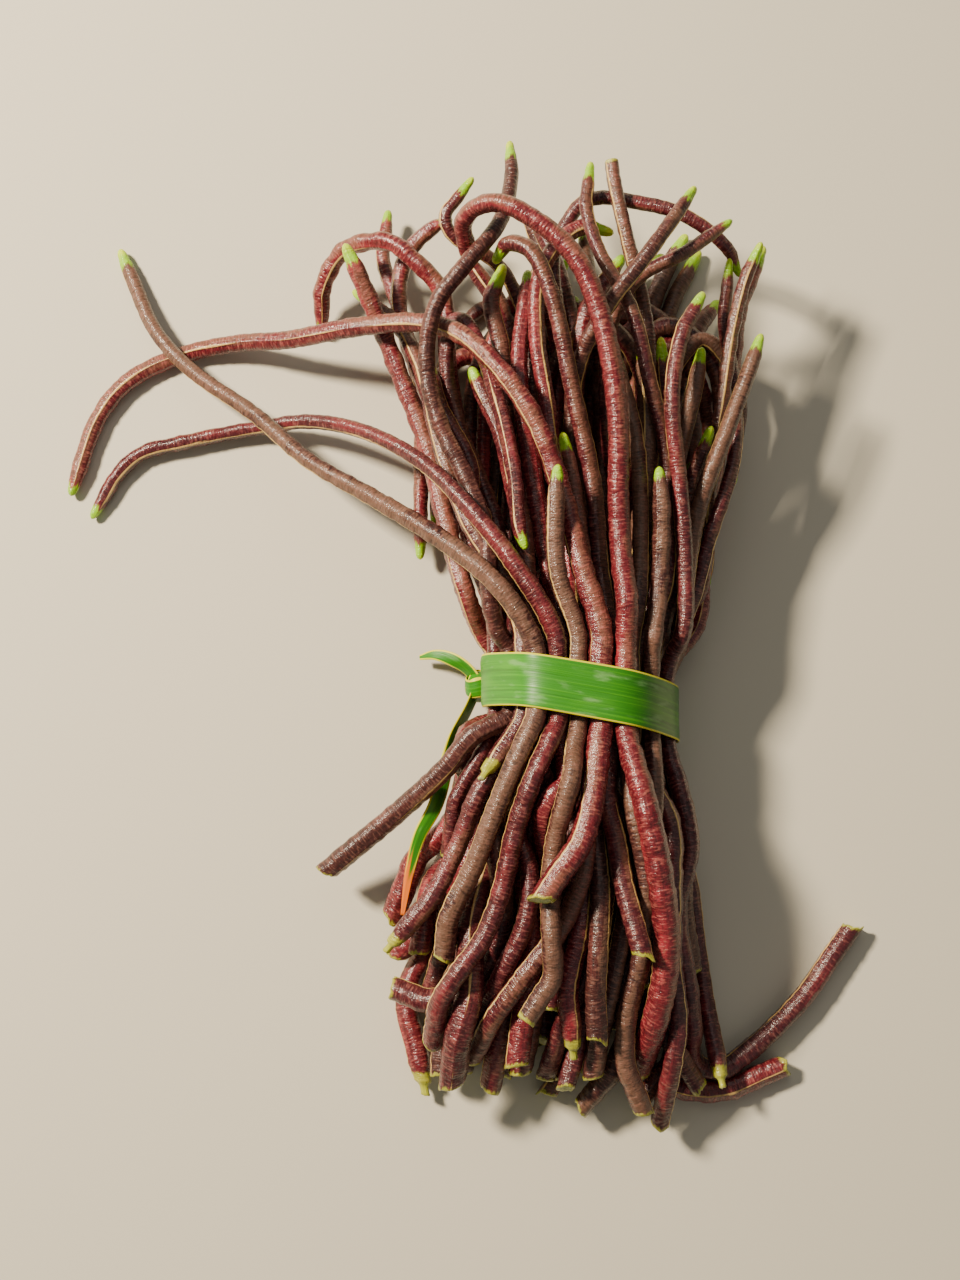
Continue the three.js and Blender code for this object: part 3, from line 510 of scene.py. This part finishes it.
@dataclass
class MiddleLine:
    """The middle line of a pod's solid, from its stem end to its blossom tip."""

    centres: np.ndarray
    radii: np.ndarray
    blunt: bool

    @classmethod
    def of(cls, node: bpy.types.Object) -> "MiddleLine":
        """Read the rings of a pod's solid.

        Args:
            node: The pod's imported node.

        Returns:
            Its middle line.
        """
        points, near = solid_points(node)
        for start in range(len(points)):
            sides = len(near[start])
            layers = layers_from(start, near)
            even = all(len(layer) == sides for layer in layers[1:-1])
            if len(layers) > 4 and even and len(layers[-1]) == 1:
                break
        else:
            raise ValueError(f"no rings found in {node.name}")
        rings = [points[layer] for layer in layers[1:-1]]
        centres = np.array([ring.mean(axis=0) for ring in rings])
        spokes = [ring - centre for ring, centre in zip(rings, centres)]
        radii = np.array([np.linalg.norm(spoke, axis=1).mean() for spoke in spokes])
        # A solid's stem end starts at four fifths of its thickness, and only a snapped tip stays thick.
        stem_share, blunt_share = 0.8, 0.9
        if abs(radii[0] / radii[1] - stem_share) > 0.06:
            centres, radii = centres[::-1], radii[::-1]
        return cls(centres, radii, bool(radii[-1] > blunt_share * radii[-2]))

    def smooth(self, step: float, end_step: float) -> tuple[np.ndarray, np.ndarray]:
        """Run a smooth curve along the middle line, with its points closer together near its ends.

        Args:
            step: Distance between the points of the curve.
            end_step: The same at its two ends.

        Returns:
            The points, and the pod's radius at each, its two ends not yet tapered.
        """
        corners = self.centres
        extended = np.vstack([2 * corners[0] - corners[1], corners, 2 * corners[-1] - corners[-2]])
        run = []
        for i in range(1, len(extended) - 2):
            p0, p1, p2, p3 = extended[i - 1 : i + 3]
            gap = np.linalg.norm(p2 - p1)
            t = np.linspace(0, 1, max(4, int(gap / (0.4 * step))), endpoint=False)[:, None]
            m1 = gap * unit(unit(p2 - p1) + unit(p1 - p0))
            m2 = gap * unit(unit(p2 - p1) + unit(p3 - p2))
            h = (2 * t**3 - 3 * t**2 + 1, t**3 - 2 * t**2 + t, -2 * t**3 + 3 * t**2, t**3 - t**2)
            run.append(h[0] * p1 + h[1] * m1 + h[2] * p2 + h[3] * m2)
        fine = np.vstack([*run, corners[-1:]])
        length = lengths_along(fine)[-1]
        places = [0.0]
        while places[-1] < length - 0.5 * end_step:
            from_end = min(places[-1], length - places[-1])
            places.append(places[-1] + end_step + (step - end_step) * min(1.0, from_end / (10 * step)))
        places = np.array(places) * length / places[-1]
        whole = slice(1, None) if self.blunt else slice(1, -2)
        at = lengths_along(corners)
        radii = np.interp(places, at[whole] * length / at[-1], self.radii[whole])
        return at_places(fine, places), radii


def carried_frames(curve: np.ndarray, start: np.ndarray) -> tuple[np.ndarray, np.ndarray, np.ndarray]:
    """Carry a side direction along a curve without twist.

    Args:
        curve: Points along the curve.
        start: The wished side direction at its start.

    Returns:
        Tangents, side directions and up directions.
    """
    tangents = unit(np.gradient(curve, axis=0))
    sides = np.empty_like(curve)
    side = start
    for i, tangent in enumerate(tangents):
        side = unit(side - side.dot(tangent) * tangent)
        sides[i] = side
    return tangents, sides, np.cross(sides, tangents)


def new_mesh(
    name: str, points: np.ndarray, faces: list, attributes: dict[str, np.ndarray]
) -> bpy.types.Object:
    """Make a smooth-shaded mesh object with point attributes.

    Args:
        name: The piece's name.
        points: Its points in metres.
        faces: Its faces as index lists.
        attributes: Attribute name to one number or one vector for each point.

    Returns:
        The new object, linked to the scene.
    """
    mesh = bpy.data.meshes.new(name)
    mesh.from_pydata(points.tolist(), [], faces)
    mesh.polygons.foreach_set("use_smooth", [True] * len(mesh.polygons))
    for key, values in attributes.items():
        plain = values.astype(np.float32)
        if plain.ndim == 1:
            mesh.attributes.new(key, "FLOAT", "POINT").data.foreach_set("value", plain)
        else:
            mesh.attributes.new(key, "FLOAT_VECTOR", "POINT").data.foreach_set("vector", plain.ravel())
    mesh.validate()
    mesh.update()
    piece = bpy.data.objects.new(name, mesh)
    bpy.context.scene.collection.objects.link(piece)
    return piece


def tube_faces(rings: int, sides: int, closed: bool = False) -> list[tuple[int, ...]]:
    """Quads that join each ring of points to the next.

    Args:
        rings: Number of rings.
        sides: Points in a ring.
        closed: Whether the last ring joins the first.

    Returns:
        The faces.
    """
    k = np.arange(sides)
    n = (k + 1) % sides
    a = sides * np.arange(rings if closed else rings - 1)[:, None]
    b = (a + sides) % (rings * sides)
    return np.stack([a + k, a + n, b + n, b + k], axis=-1).reshape(-1, 4).tolist()


@dataclass
class Pod:
    """One bean pod: a long skin with seed bumps, two seams, a stem end and a blossom tip."""

    node: bpy.types.Object
    colour: PodColour
    number: int
    random: np.random.Generator
    step: float = 1.3 * MM
    end_step: float = 0.55 * MM
    seed_pitch_mm: float = 12.5
    seed_bump: float = 0.07
    dent: float = 0.018
    seam_ridge: float = 0.07
    tip_taper_mm: float = 13.0
    tip_round_mm: float = 3.2
    slant_mm: float = 7.0
    slant: tuple[float, float] = (0.15, 0.55)
    torn_mm: float = 3.0
    stalked_share: float = 0.09
    seam_sides: tuple[float, ...] = (2.65, 0.45, 1.5)
    seam_side_odds: tuple[float, ...] = (0.6, 0.25, 0.15)
    seam_sway: float = 0.3
    dent_waves: tuple[tuple[float, int], ...] = ((3.9, 1), (5.3, 2), (7.1, 1), (4.4, 3), (9.7, 2))
    half_round: tuple[float, ...] = (0.0, 0.11, 0.26, 0.52, 0.86, 1.2, 1.55, 1.9, 2.25, 2.58, 2.9, math.pi)

    def build(self, material: bpy.types.Material) -> bpy.types.Object:
        """Sweep the pod's skin and dress it.

        Args:
            material: The skin's material.

        Returns:
            The pod.
        """
        line = MiddleLine.of(self.node)
        curve, radii = line.smooth(self.step, self.end_step)
        run = lengths_along(curve) / MM
        length = float(run[-1])
        stem = End.STALKED if self.random.random() < self.stalked_share else End.SNAPPED
        tip = End.SNAPPED if line.blunt else End.GROWN
        half = np.array(self.half_round)
        spot = -np.concatenate([half, -half[-2:0:-1]])
        radii = radii * self.profile(run, length, stem, tip)
        reach = radii[:, None] * self.lifts(run, length, spot)

        # The seam lies mostly along the left edge, and it sways a little along the pod.
        side = self.random.choice(self.seam_sides, p=self.seam_side_odds) + self.random.normal(0, 0.2)
        turn = side + self.seam_sway * np.sin(run / length * self.random.uniform(2, 6))
        angle = spot[None, :] + turn[:, None]

        # The stem end is snapped off askew, and its edge is torn.
        lean = self.random.uniform(*self.slant) * np.clip(1 - run / self.slant_mm, 0, 1)
        push = reach * lean[:, None] * np.cos(spot + self.random.uniform(0, 6))[None, :]
        push = push + np.clip(1 - run / self.torn_mm, 0, 1)[:, None] * self.torn_edge(spot)[None, :]

        # Each row is a ring of points: those of the stem end, of the skin between, and of the tip.
        opening = self.end_plan(stem)[::-1]
        closing = self.end_plan(tip)
        last = len(run) - 1
        rows = np.array([0] * len(opening) + list(range(last + 1)) + [last] * len(closing))
        bare = [(1.0, 0.0, 0.0)] * (last + 1)
        size, shift, opened = np.array([*opening, *bare, *closing]).T
        outward = np.where(np.arange(len(rows)) < len(opening), -1.0, 1.0) * shift * radii[rows]
        first_side = unit(np.cross(unit(curve[1] - curve[0]), UP) + 1e-6)
        tangents, sides, ups = (part[rows] for part in carried_frames(curve, first_side))
        around = np.cos(angle)[rows, :, None] * sides[:, None]
        around = around + np.sin(angle)[rows, :, None] * ups[:, None]
        pushed = push[rows] * size[:, None] + outward[:, None]
        rings = curve[rows][:, None] + (reach[rows] * size[:, None])[..., None] * around
        rings = rings + pushed[..., None] * tangents[:, None]
        rings[..., 2] = np.maximum(rings[..., 2], 0)
        middles = np.stack([rings[0].mean(axis=0), rings[-1].mean(axis=0)])

        columns = len(spot)
        total = len(rows) * columns
        faces = tube_faces(len(rows), columns)
        for k in range(columns):
            n = (k + 1) % columns
            faces.append([n, k, total])
            faces.append([total - columns + k, total - columns + n, total + 1])
        piece = new_mesh(
            f"{self.node.name}_skin",
            np.vstack([rings.reshape(-1, 3), middles]),
            faces,
            self.marks(run[rows], length, reach[rows] / MM, angle[rows], spot, opened, stem, tip),
        )
        piece.data.materials.append(material)
        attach(piece, "root")
        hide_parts(self.node.name)
        return piece

    def end_plan(self, end: End) -> list[tuple[float, float, float]]:
        """Rings past the last one of the skin, outwards.

        Args:
            end: How the end finishes.

        Returns:
            Each ring's size, how far out it lies in radii, and how far it shows the inside.
        """
        if end is End.SNAPPED:
            return [(0.95, 0.10, 0.5), (0.80, 0.06, 0.8), (0.64, -0.28, 1.0), (0.3, -0.5, 1.0)]
        if end is End.STALKED:
            neck = [(0.66, 0.3, 0.5), (0.5, 0.65, 0.5), (0.46, 1.3, 0.5)]
            return [*neck, (0.52, 1.6, 0.55), (0.4, 1.7, 1.0)]
        return []

    def torn_edge(self, spot: np.ndarray) -> np.ndarray:
        """How far inwards the stem end's edge is torn, with a strip of skin left over on some pods.

        Args:
            spot: Angle of each column of points from the seam.

        Returns:
            The distance at each column.
        """
        jags = self.random.normal(0, 0.22, len(spot))
        strip = self.random.uniform(1.2, 2.8) if self.random.random() < 0.35 else 0.0
        away = np.angle(np.exp(1j * (spot - self.random.uniform(-3, 3))))
        return (jags - strip * np.exp(-((away / 0.45) ** 2))) * MM

    def profile(self, run: np.ndarray, length: float, stem: End, tip: End) -> np.ndarray:
        """Thickness along the pod as a share of its usual radius.

        Args:
            run: Distance from the stem end in millimetres.
            length: The pod's length in millimetres.
            stem: How its stem end finishes.
            tip: How its tip finishes.

        Returns:
            The share at each place.
        """
        slow = 1 + 0.035 * np.sin(run / 41 + self.random.uniform(0, 6)) + 0.02 * np.sin(run / 17 + 2)
        neck_mm = 9
        narrowing = 0.26 if stem is End.STALKED else 0.05
        neck = 1 - narrowing * (1 - smoothed(run / neck_mm))
        if tip is End.SNAPPED:
            return slow * neck
        left = length - run
        tip_share = 0.6
        tapered = tip_share + (1 - tip_share) * smoothed(left / self.tip_taper_mm)
        rounded = np.sqrt(1 - (1 - np.clip((left + 0.03) / self.tip_round_mm, 0, 1)) ** 2)
        return slow * neck * tapered * rounded

    def lifts(self, run: np.ndarray, length: float, spot: np.ndarray) -> np.ndarray:
        """How far the skin stands from the middle line, as a share of the pod's radius.

        Args:
            run: Distance from the stem end in millimetres.
            length: The pod's length in millimetres.
            spot: Angle of each column of points from the seam.

        Returns:
            The share at each ring and column.
        """
        pitch = self.seed_pitch_mm * self.random.uniform(0.85, 1.2)
        drift = 0.35 * np.sin(run / 37 + self.random.uniform(0, 6))
        seeds = np.cos(2 * np.pi * (run / pitch + drift))
        seeds = seeds * (0.6 + 0.5 * np.sin(run / 53 + self.random.uniform(0, 6)))
        seeds = seeds * np.clip(run / 25, 0, 1) * np.clip((length - run) / 30, 0, 1)
        gap = np.abs(spot)[None, :]
        lift = 1 + seeds[:, None] * self.seed_bump * (0.4 + 0.6 * np.sin(gap) ** 2)
        for wave_mm, waves_round in self.dent_waves:
            phase = self.random.uniform(0, 6, 2)
            wave = np.sin(2 * np.pi * run / wave_mm + phase[0])[:, None]
            lift = lift + self.dent * wave * np.cos(waves_round * spot + phase[1])[None, :]

        # The main seam is a ridge with a groove on each side, the back seam a lower ridge.
        lift = lift + self.seam_ridge * np.exp(-((gap / 0.17) ** 2))
        lift = lift + 0.6 * self.seam_ridge * np.exp(-(((np.pi - gap) / 0.2) ** 2))
        lift = lift - 0.035 * np.exp(-(((gap - 0.45) / 0.22) ** 2))
        return lift * (1 - 0.05 * np.cos(2 * gap))

    def marks(
        self,
        run: np.ndarray,
        length: float,
        reach_mm: np.ndarray,
        angle: np.ndarray,
        spot: np.ndarray,
        opened: np.ndarray,
        stem: End,
        tip: End,
    ) -> dict[str, np.ndarray]:
        """Say what each point of the skin is, for its material.

        Args:
            run: Distance of each ring from the stem end in millimetres.
            length: The pod's length in millimetres.
            reach_mm: Distance of each point from the middle line.
            angle: Direction of each point round the pod, from its right side upwards.
            spot: Angle of each column of points from the seam.
            opened: How far each ring shows the inside.
            stem: How the stem end finishes.
            tip: How the tip finishes.

        Returns:
            The attributes, with a value for each point and for the middle of each end.
        """
        level = np.ones_like(spot)[None, :]
        ring_run = run[:, None] * level
        # Each pod takes its pattern from a stretch of its own.
        along_it = ring_run + 531.7 * self.number
        skin = np.stack([reach_mm * np.cos(spot), reach_mm * np.sin(spot), along_it], axis=-1)
        waves = 0.45 * np.sin(run / 38 + self.random.uniform(0, 6))
        waves = waves + 0.25 * np.sin(run / 9 + self.random.uniform(0, 6))
        hidden_seam = np.clip(waves + self.random.uniform(-0.6, 0.75), 0, 1.2)
        gap = np.minimum(np.abs(spot), np.pi - np.abs(spot) + 0.04)
        green_mm = self.random.uniform(4.5, 10.5)
        rim_mm = self.random.uniform(2.0, 4.5) if stem is End.STALKED else self.random.uniform(0.3, 1.2)
        past_tip = length - ring_run - green_mm
        past_rim = ring_run - rim_mm
        if tip is End.SNAPPED:
            no_green_mm = 40
            past_tip = past_tip + 2 * green_mm + no_green_mm
            past_rim = np.minimum(past_rim, length - ring_run - rim_mm)
        # Painted shade: how far each point faces away from the main light, less towards the stem end.
        away_from_light = np.cos(angle - self.random.normal(0.5, 0.6)) - 0.7 * (1 - ring_run / length)
        fields = {
            "skin_mm": skin,
            "away_from_light": away_from_light,
            "from_seam_mm": gap[None, :] * reach_mm + hidden_seam[:, None],
            "past_tip_mm": past_tip,
            "past_rim_mm": past_rim,
            "open_end": opened[:, None] * level,
        }
        marks = {}
        for name, values in fields.items():
            flat = values.reshape(-1, 3) if values.ndim == 3 else values.ravel()
            marks[name] = np.concatenate([flat, flat[:1], flat[-1:]])
        return marks


@dataclass
class LeafStrip:
    """A strip of palm leaf laid along a path: ribbed by its veins, thin at its margins."""

    name: str
    path: np.ndarray
    outward: np.ndarray
    width: np.ndarray
    tone: np.ndarray
    thickness: float = 0.7 * MM
    closed: bool = False
    dry_from: float = 2.0
    drying_share: float = 0.22
    cup: float = 0.035
    offset: tuple[float, float] = (0.0, 0.0)
    across_steps: int = 22
    ribs: int = 9
    rib_height: float = 0.05 * MM
    flutter: float = 0.22 * MM
    flutter_length_mm: float = 9.0

    def build(self, material: bpy.types.Material) -> bpy.types.Object:
        """Lay the strip and dress it.

        Args:
            material: The leaf's material.

        Returns:
            The strip.
        """
        path = self.path
        if self.closed:
            ahead = np.roll(path, -1, axis=0) - np.roll(path, 1, axis=0)
        else:
            ahead = np.gradient(path, axis=0)
        tangents = unit(ahead)
        leaning = np.sum(self.outward * tangents, axis=1, keepdims=True)
        normals = unit(self.outward - leaning * tangents)
        across = np.cross(tangents, normals)
        run = lengths_along(path) / MM
        shares = np.linspace(-0.5, 0.5, self.across_steps + 1)
        from_middle = 2 * np.abs(shares)
        ribs = self.rib_height * np.cos(2 * np.pi * self.ribs * shares)
        ribs = ribs + self.cup * self.width[:, None] * from_middle**2
        wave = self.flutter * np.sin(run / self.flutter_length_mm)[:, None] * (2 * shares[None, :]) ** 3
        thin = np.sqrt(np.clip(1 - from_middle**14, 0.05, 1))
        layers = []
        for side in (1, -1):
            lift = ribs + wave + side * self.thickness / 2 * thin[None, :]
            flat = (self.width[:, None] * shares[None, :])[..., None] * across[:, None]
            layers.append(path[:, None] + flat + lift[..., None] * normals[:, None])
        rings = np.concatenate([layers[0], layers[1][:, ::-1]], axis=1)
        rings[..., 2] = np.maximum(rings[..., 2], 0)
        count = rings.shape[1]
        faces = tube_faces(len(path), count, self.closed)
        if not self.closed:
            faces.append(list(range(count - 1, -1, -1)))
            faces.append(list(range((len(path) - 1) * count, len(path) * count)))
        place = np.concatenate([shares, shares[::-1]])
        under = np.concatenate([np.zeros(count // 2), np.full(count // 2, 4.0)])
        width_mm = self.width[:, None] / MM * np.ones(count)
        along_it = run[:, None] + self.offset[0] + 0 * place
        leaf = np.stack([along_it, width_mm * place + self.offset[1], under + 0 * along_it], axis=-1)
        past_green = (run / run[-1] - self.dry_from) / self.drying_share
        dryness = np.clip(past_green, 0, 1)[:, None] * np.ones(count)
        attributes = {
            "leaf_mm": leaf.reshape(-1, 3),
            "edge_mm": (width_mm * (0.5 - np.abs(place))).ravel(),
            "dryness": dryness.ravel(),
            "tone": np.repeat(self.tone, count),
        }
        piece = new_mesh(self.name, rings.reshape(-1, 3), faces, attributes)
        piece.data.materials.append(material)
        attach(piece, "root")
        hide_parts("leaf_tie")
        return piece


def convex_loop(flat: np.ndarray) -> np.ndarray:
    """The convex outline of points in a plane, turning left all the way round.

    Args:
        flat: The points, a row for each.

    Returns:
        Those on the outline, in order.
    """
    order = flat[np.lexsort((flat[:, 1], flat[:, 0]))]
    halves = []
    for pass_points in (order, order[::-1]):
        chain: list[np.ndarray] = []
        for point in pass_points:
            while len(chain) > 1:
                a, b = chain[-1] - chain[-2], point - chain[-1]
                if a[0] * b[1] - a[1] * b[0] > 1e-10:
                    break
                chain.pop()
            chain.append(point)
        halves.extend(chain[:-1])
    return np.array(halves)


@dataclass
class LeafTie:
    """The palm leaf that holds the bunch: its band, the knot on the left flank and the loose ends."""

    node: bpy.types.Object
    slope: float = math.tan(math.radians(10))
    width: float = 23 * MM
    band_points: int = 320
    smoothing_passes: int = 100
    tucked_in: float = 0.1 * MM
    gathered_mm: tuple[float, float] = (7.0, 15.0)
    gathered_share: float = 0.42
    knot_mm: tuple[float, float, float] = (10.4, -22.9, 11.0)
    long_end_mm: tuple[tuple[float, float, float], ...] = (
        (10.4, -22.9, 11.0),
        (6.5, -32.3, 13.0),
        (0.2, -45.7, 19.0),
        (-3.9, -62.1, 27.0),
        (-7.9, -75.8, 32.0),
        (-14.0, -87.1, 31.0),
        (-18.2, -101.5, 29.0),
        (-21.3, -119.9, 27.0),
    )
    short_end_mm: tuple[tuple[float, float, float], ...] = (
        (10.4, -22.9, 11.0),
        (5.4, -16.1, 13.0),
        (-1.0, -11.8, 13.0),
        (-8.7, -9.2, 10.0),
        (-15.3, -9.8, 6.0),
    )

    def build(self, material: bpy.types.Material) -> list[bpy.types.Object]:
        """Lay the band, tie the knot and hang the loose ends.

        Args:
            material: The leaf's material.

        Returns:
            The strips of leaf.
        """
        return [self.band(material), *self.knot(material), *self.loose_ends(material)]

    def band(self, material: bpy.types.Material) -> bpy.types.Object:
        """Lay the band round the outline of the solid's own band.

        Args:
            material: The leaf's material.

        Returns:
            The band.
        """
        points, _ = solid_points(self.node)
        beyond = points[:, 1] + self.slope * points[:, 0]
        low = beyond[points[:, 2] < 1e-5]
        middle = (low.min() + low.max()) / 2
        half = (low.max() - low.min()) / 2
        rim = points[np.abs(np.abs(beyond - middle) - half) < 2e-5]
        loop = convex_loop(rim[:, [0, 2]])
        closed = np.vstack([loop, loop[:1]])
        round_it = lengths_along(closed)[-1]
        flat = at_places(closed, np.linspace(0, round_it, self.band_points, endpoint=False))
        for _ in range(self.smoothing_passes):
            flat = 0.5 * flat + 0.25 * (np.roll(flat, 1, axis=0) + np.roll(flat, -1, axis=0))
        turn = np.roll(flat, -1, axis=0) - np.roll(flat, 1, axis=0)
        outward = unit(np.stack([turn[:, 1], np.zeros(len(turn)), -turn[:, 0]], axis=1))
        path = np.stack([flat[:, 0], middle - self.slope * flat[:, 0], flat[:, 1]], axis=1)
        path = path - self.tucked_in * outward

        # The leaf is gathered narrow where it runs into the knot.
        from_knot = np.linalg.norm(path - np.array(self.knot_mm) * MM, axis=1) / MM
        near_mm, spread_mm = self.gathered_mm
        spread = smoothed((from_knot - near_mm) / spread_mm)
        angle = np.linspace(0, 2 * np.pi, len(path), endpoint=False)
        width = self.width * (0.96 + 0.02 * np.sin(angle * 2 + 1))
        width = width * (self.gathered_share + (1 - self.gathered_share) * spread)
        left, right = flat[:, 0].min(), flat[:, 0].max()
        # Painted light: the band's green is painted brighter on its left, where the main light falls.
        tone = 0.95 - 0.8 * (flat[:, 0] - left) / (right - left)
        return LeafStrip("leaf_band", path, outward, width, tone, closed=True, cup=0.012).build(material)

    def knot(self, material: bpy.types.Material) -> list[bpy.types.Object]:
        """Wrap crossing turns of the strip round the gathered leaf.

        Args:
            material: The leaf's material.

        Returns:
            The turns.
        """
        centre = np.array(self.knot_mm) * MM
        right = np.array([1.0, 0.0, 0.0])
        # Each turn's name, tilt, reach sideways and upwards in millimetres, width, and start round it.
        turns = (
            ("leaf_knot_turn", 0.25, 5.8, 6.6, 7.5, 0.0),
            ("leaf_knot_cross_turn", 1.15, 4.9, 6.4, 7.0, 2.0),
            ("leaf_knot_tuck", 2.1, 5.2, 5.8, 6.5, 5.0),
        )
        pieces = []
        for name, tilt, out_reach, up_reach, width, start in turns:
            t = np.linspace(0, 2 * np.pi, 72, endpoint=False)
            turned = np.array(Matrix.Rotation(tilt, 3, Vector(right)))
            loop = np.cos(t)[:, None] * right * out_reach + np.sin(t)[:, None] * (turned @ UP) * up_reach
            loop = loop + 0.8 * np.sin(2 * t + start)[:, None] * (turned @ np.array([0.0, 1.0, 0.0]))
            widths = width * MM * (1 + 0.08 * np.sin(t + start))
            tone = np.full(len(t), 0.6)
            strip = LeafStrip(name, centre + loop * MM, unit(loop), widths, tone, closed=True, cup=-0.05)
            strip.offset = (40.0 * start, 9.0)
            pieces.append(strip.build(material))
        return pieces

    def loose_ends(self, material: bpy.types.Material) -> list[bpy.types.Object]:
        """Lay the long end down the left flank, withered at its tip, and the short one back.

        Args:
            material: The leaf's material.

        Returns:
            The two ends.
        """
        # Each end's name, route, width where it starts and ends, where it dries, and roll.
        plan = (
            ("leaf_long_end", self.long_end_mm, 8.6, 1.6, 0.66, 1.15),
            ("leaf_short_end", self.short_end_mm, 7.4, 2.2, 2.0, 0.9),
        )
        pieces = []
        for name, route, width, end, dry_from, roll in plan:
            line = MiddleLine(np.array(route) * MM, np.ones(len(route)), True)
            path, _ = line.smooth(1.0 * MM, 1.0 * MM)
            share = np.linspace(0, 1, len(path))
            tangents = unit(np.gradient(path, axis=0))
            level = unit(np.cross(tangents, UP))
            angle = roll * (1 - 0.75 * np.clip(2 * share, 0, 1)) + 0.3 * np.sin(5 * share)
            outward = np.cos(angle)[:, None] * np.cross(level, tangents) - np.sin(angle)[:, None] * level
            widths = (width + (end - width) * share**2.2) * MM
            tone = 0.35 + 0.4 * share
            strip = LeafStrip(name, path, outward, widths, tone, dry_from=dry_from, cup=-0.05)
            strip.offset = (150.0, 4.0)
            pieces.append(strip.build(material))
        return pieces


@dataclass
class Studio:
    """A pale floor, soft lights and the camera."""

    seen_width_mm: float = 384.0
    distance: float = 0.700
    lean: float = math.radians(8)
    aim_mm: tuple[float, float, float] = (10.8, -10.6, 66.0)
    floor_reach: float = 3.0
    floor_height: float = -0.2 * MM
    paper: str = "#cec9b8"
    sky: str = "#ece8df"
    sky_strength: float = 0.19

    def floor(self) -> None:
        """Lay the pale floor."""
        mesh = bpy.data.meshes.new("floor")
        around = ((-1, -1), (1, -1), (1, 1), (-1, 1))
        corners = [(self.floor_reach * x, self.floor_reach * y, self.floor_height) for x, y in around]
        mesh.from_pydata(corners, [], [(0, 1, 2, 3)])
        floor = bpy.data.objects.new("floor", mesh)
        bpy.context.scene.collection.objects.link(floor)
        material = empty_material("pale_matt_paper")
        tree = material.node_tree
        paper = add_node(tree, "BsdfPrincipled", {"Base Color": linear(self.paper), "Roughness": 0.9})
        add_node(tree, "OutputMaterial", {0: paper.outputs[0]})
        mesh.materials.append(material)

    def camera(self) -> None:
        """Place the camera above the stem end, looking down at the bunch."""
        data = bpy.data.cameras.new("camera")
        data.sensor_fit = "HORIZONTAL"
        data.sensor_width = 36.0
        data.lens = data.sensor_width * self.distance / (self.seen_width_mm * MM)
        data.clip_start = 0.01
        camera = bpy.data.objects.new("camera", data)
        bpy.context.scene.collection.objects.link(camera)
        back = Vector((0.0, -math.sin(self.lean), math.cos(self.lean)))
        camera.location = Vector(self.aim_mm) * MM + back * self.distance
        camera.rotation_euler = back.to_track_quat("Z", "Y").to_euler()
        bpy.context.scene.camera = camera

    def lights(self) -> None:
        """Hang soft lights, the main one over the left side."""
        # Each light's name, place and size in metres, power in watts, and colour.
        plan = (
            ("key_light", (-0.9, 0.5, 1.05), 0.2, 60.0, "#ffedd2"),
            ("fill_light", (0.9, -0.7, 1.2), 1.2, 1.4, "#fff6ec"),
            ("top_light", (0.1, 0.9, 1.3), 0.9, 2.6, "#fffaf2"),
        )
        for name, place, size, power, colour in plan:
            data = bpy.data.lights.new(name, "AREA")
            data.size = size
            data.energy = power
            data.color = linear(colour)[:3]
            light = bpy.data.objects.new(name, data)
            bpy.context.scene.collection.objects.link(light)
            light.location = place
            toward = Vector((0.02, 0.0, 0.03)) - Vector(place)
            light.rotation_euler = toward.to_track_quat("-Z", "Y").to_euler()
        world = bpy.data.worlds.new("studio")
        world.use_nodes = True
        sky = world.node_tree.nodes["Background"]
        sky.inputs["Color"].default_value = linear(self.sky)
        sky.inputs["Strength"].default_value = self.sky_strength
        bpy.context.scene.world = world


# Each skin's body, flush, deep and crest colours, its colour for dusted patches and painted shade, then
# how much of that it shows, its roughness and wetness.
SKINS = (
    PodSkin(PodColour.MAROON, "#4c181f", "#77262e", "#1a090c", "#965a52", "#674534", 0.11, 0.33, 0.78),
    PodSkin(PodColour.RED, "#661b24", "#992c37", "#280c12", "#b6645c", "#744b39", 0.06, 0.30, 0.82),
    PodSkin(PodColour.BROWN, "#42201e", "#61302d", "#190b0b", "#885c4f", "#6c4e3d", 0.15, 0.39, 0.65),
)
FIRST_SEED = 4100


def main() -> None:
    """Build the bunch, its tie and the studio around it."""
    logging.basicConfig(level=logging.INFO, format="%(message)s")
    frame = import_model()
    slots = {part["node"]: part["material_slot"] for part in frame["record"]["subparts"]}
    materials = {skin.slot: skin.build() for skin in SKINS}
    names = sorted(name for name in frame["nodes"] if name.startswith("pod_"))
    for number, name in enumerate(names):
        colour = PodColour(slots[name])
        pod = Pod(frame["nodes"][name], colour, number, np.random.default_rng(FIRST_SEED + number))
        piece = pod.build(materials[colour])
        LOG.info("%s: %d faces, %s", piece.name, len(piece.data.polygons), colour.value)
    tie = LeafTie(frame["nodes"]["leaf_tie"])
    for piece in tie.build(PalmLeaf().build()):
        LOG.info("%s: %d faces", piece.name, len(piece.data.polygons))
    studio = Studio()
    studio.floor()
    studio.camera()
    studio.lights()
    bpy.context.view_layer.update()


if __name__ == "__main__":
    main()
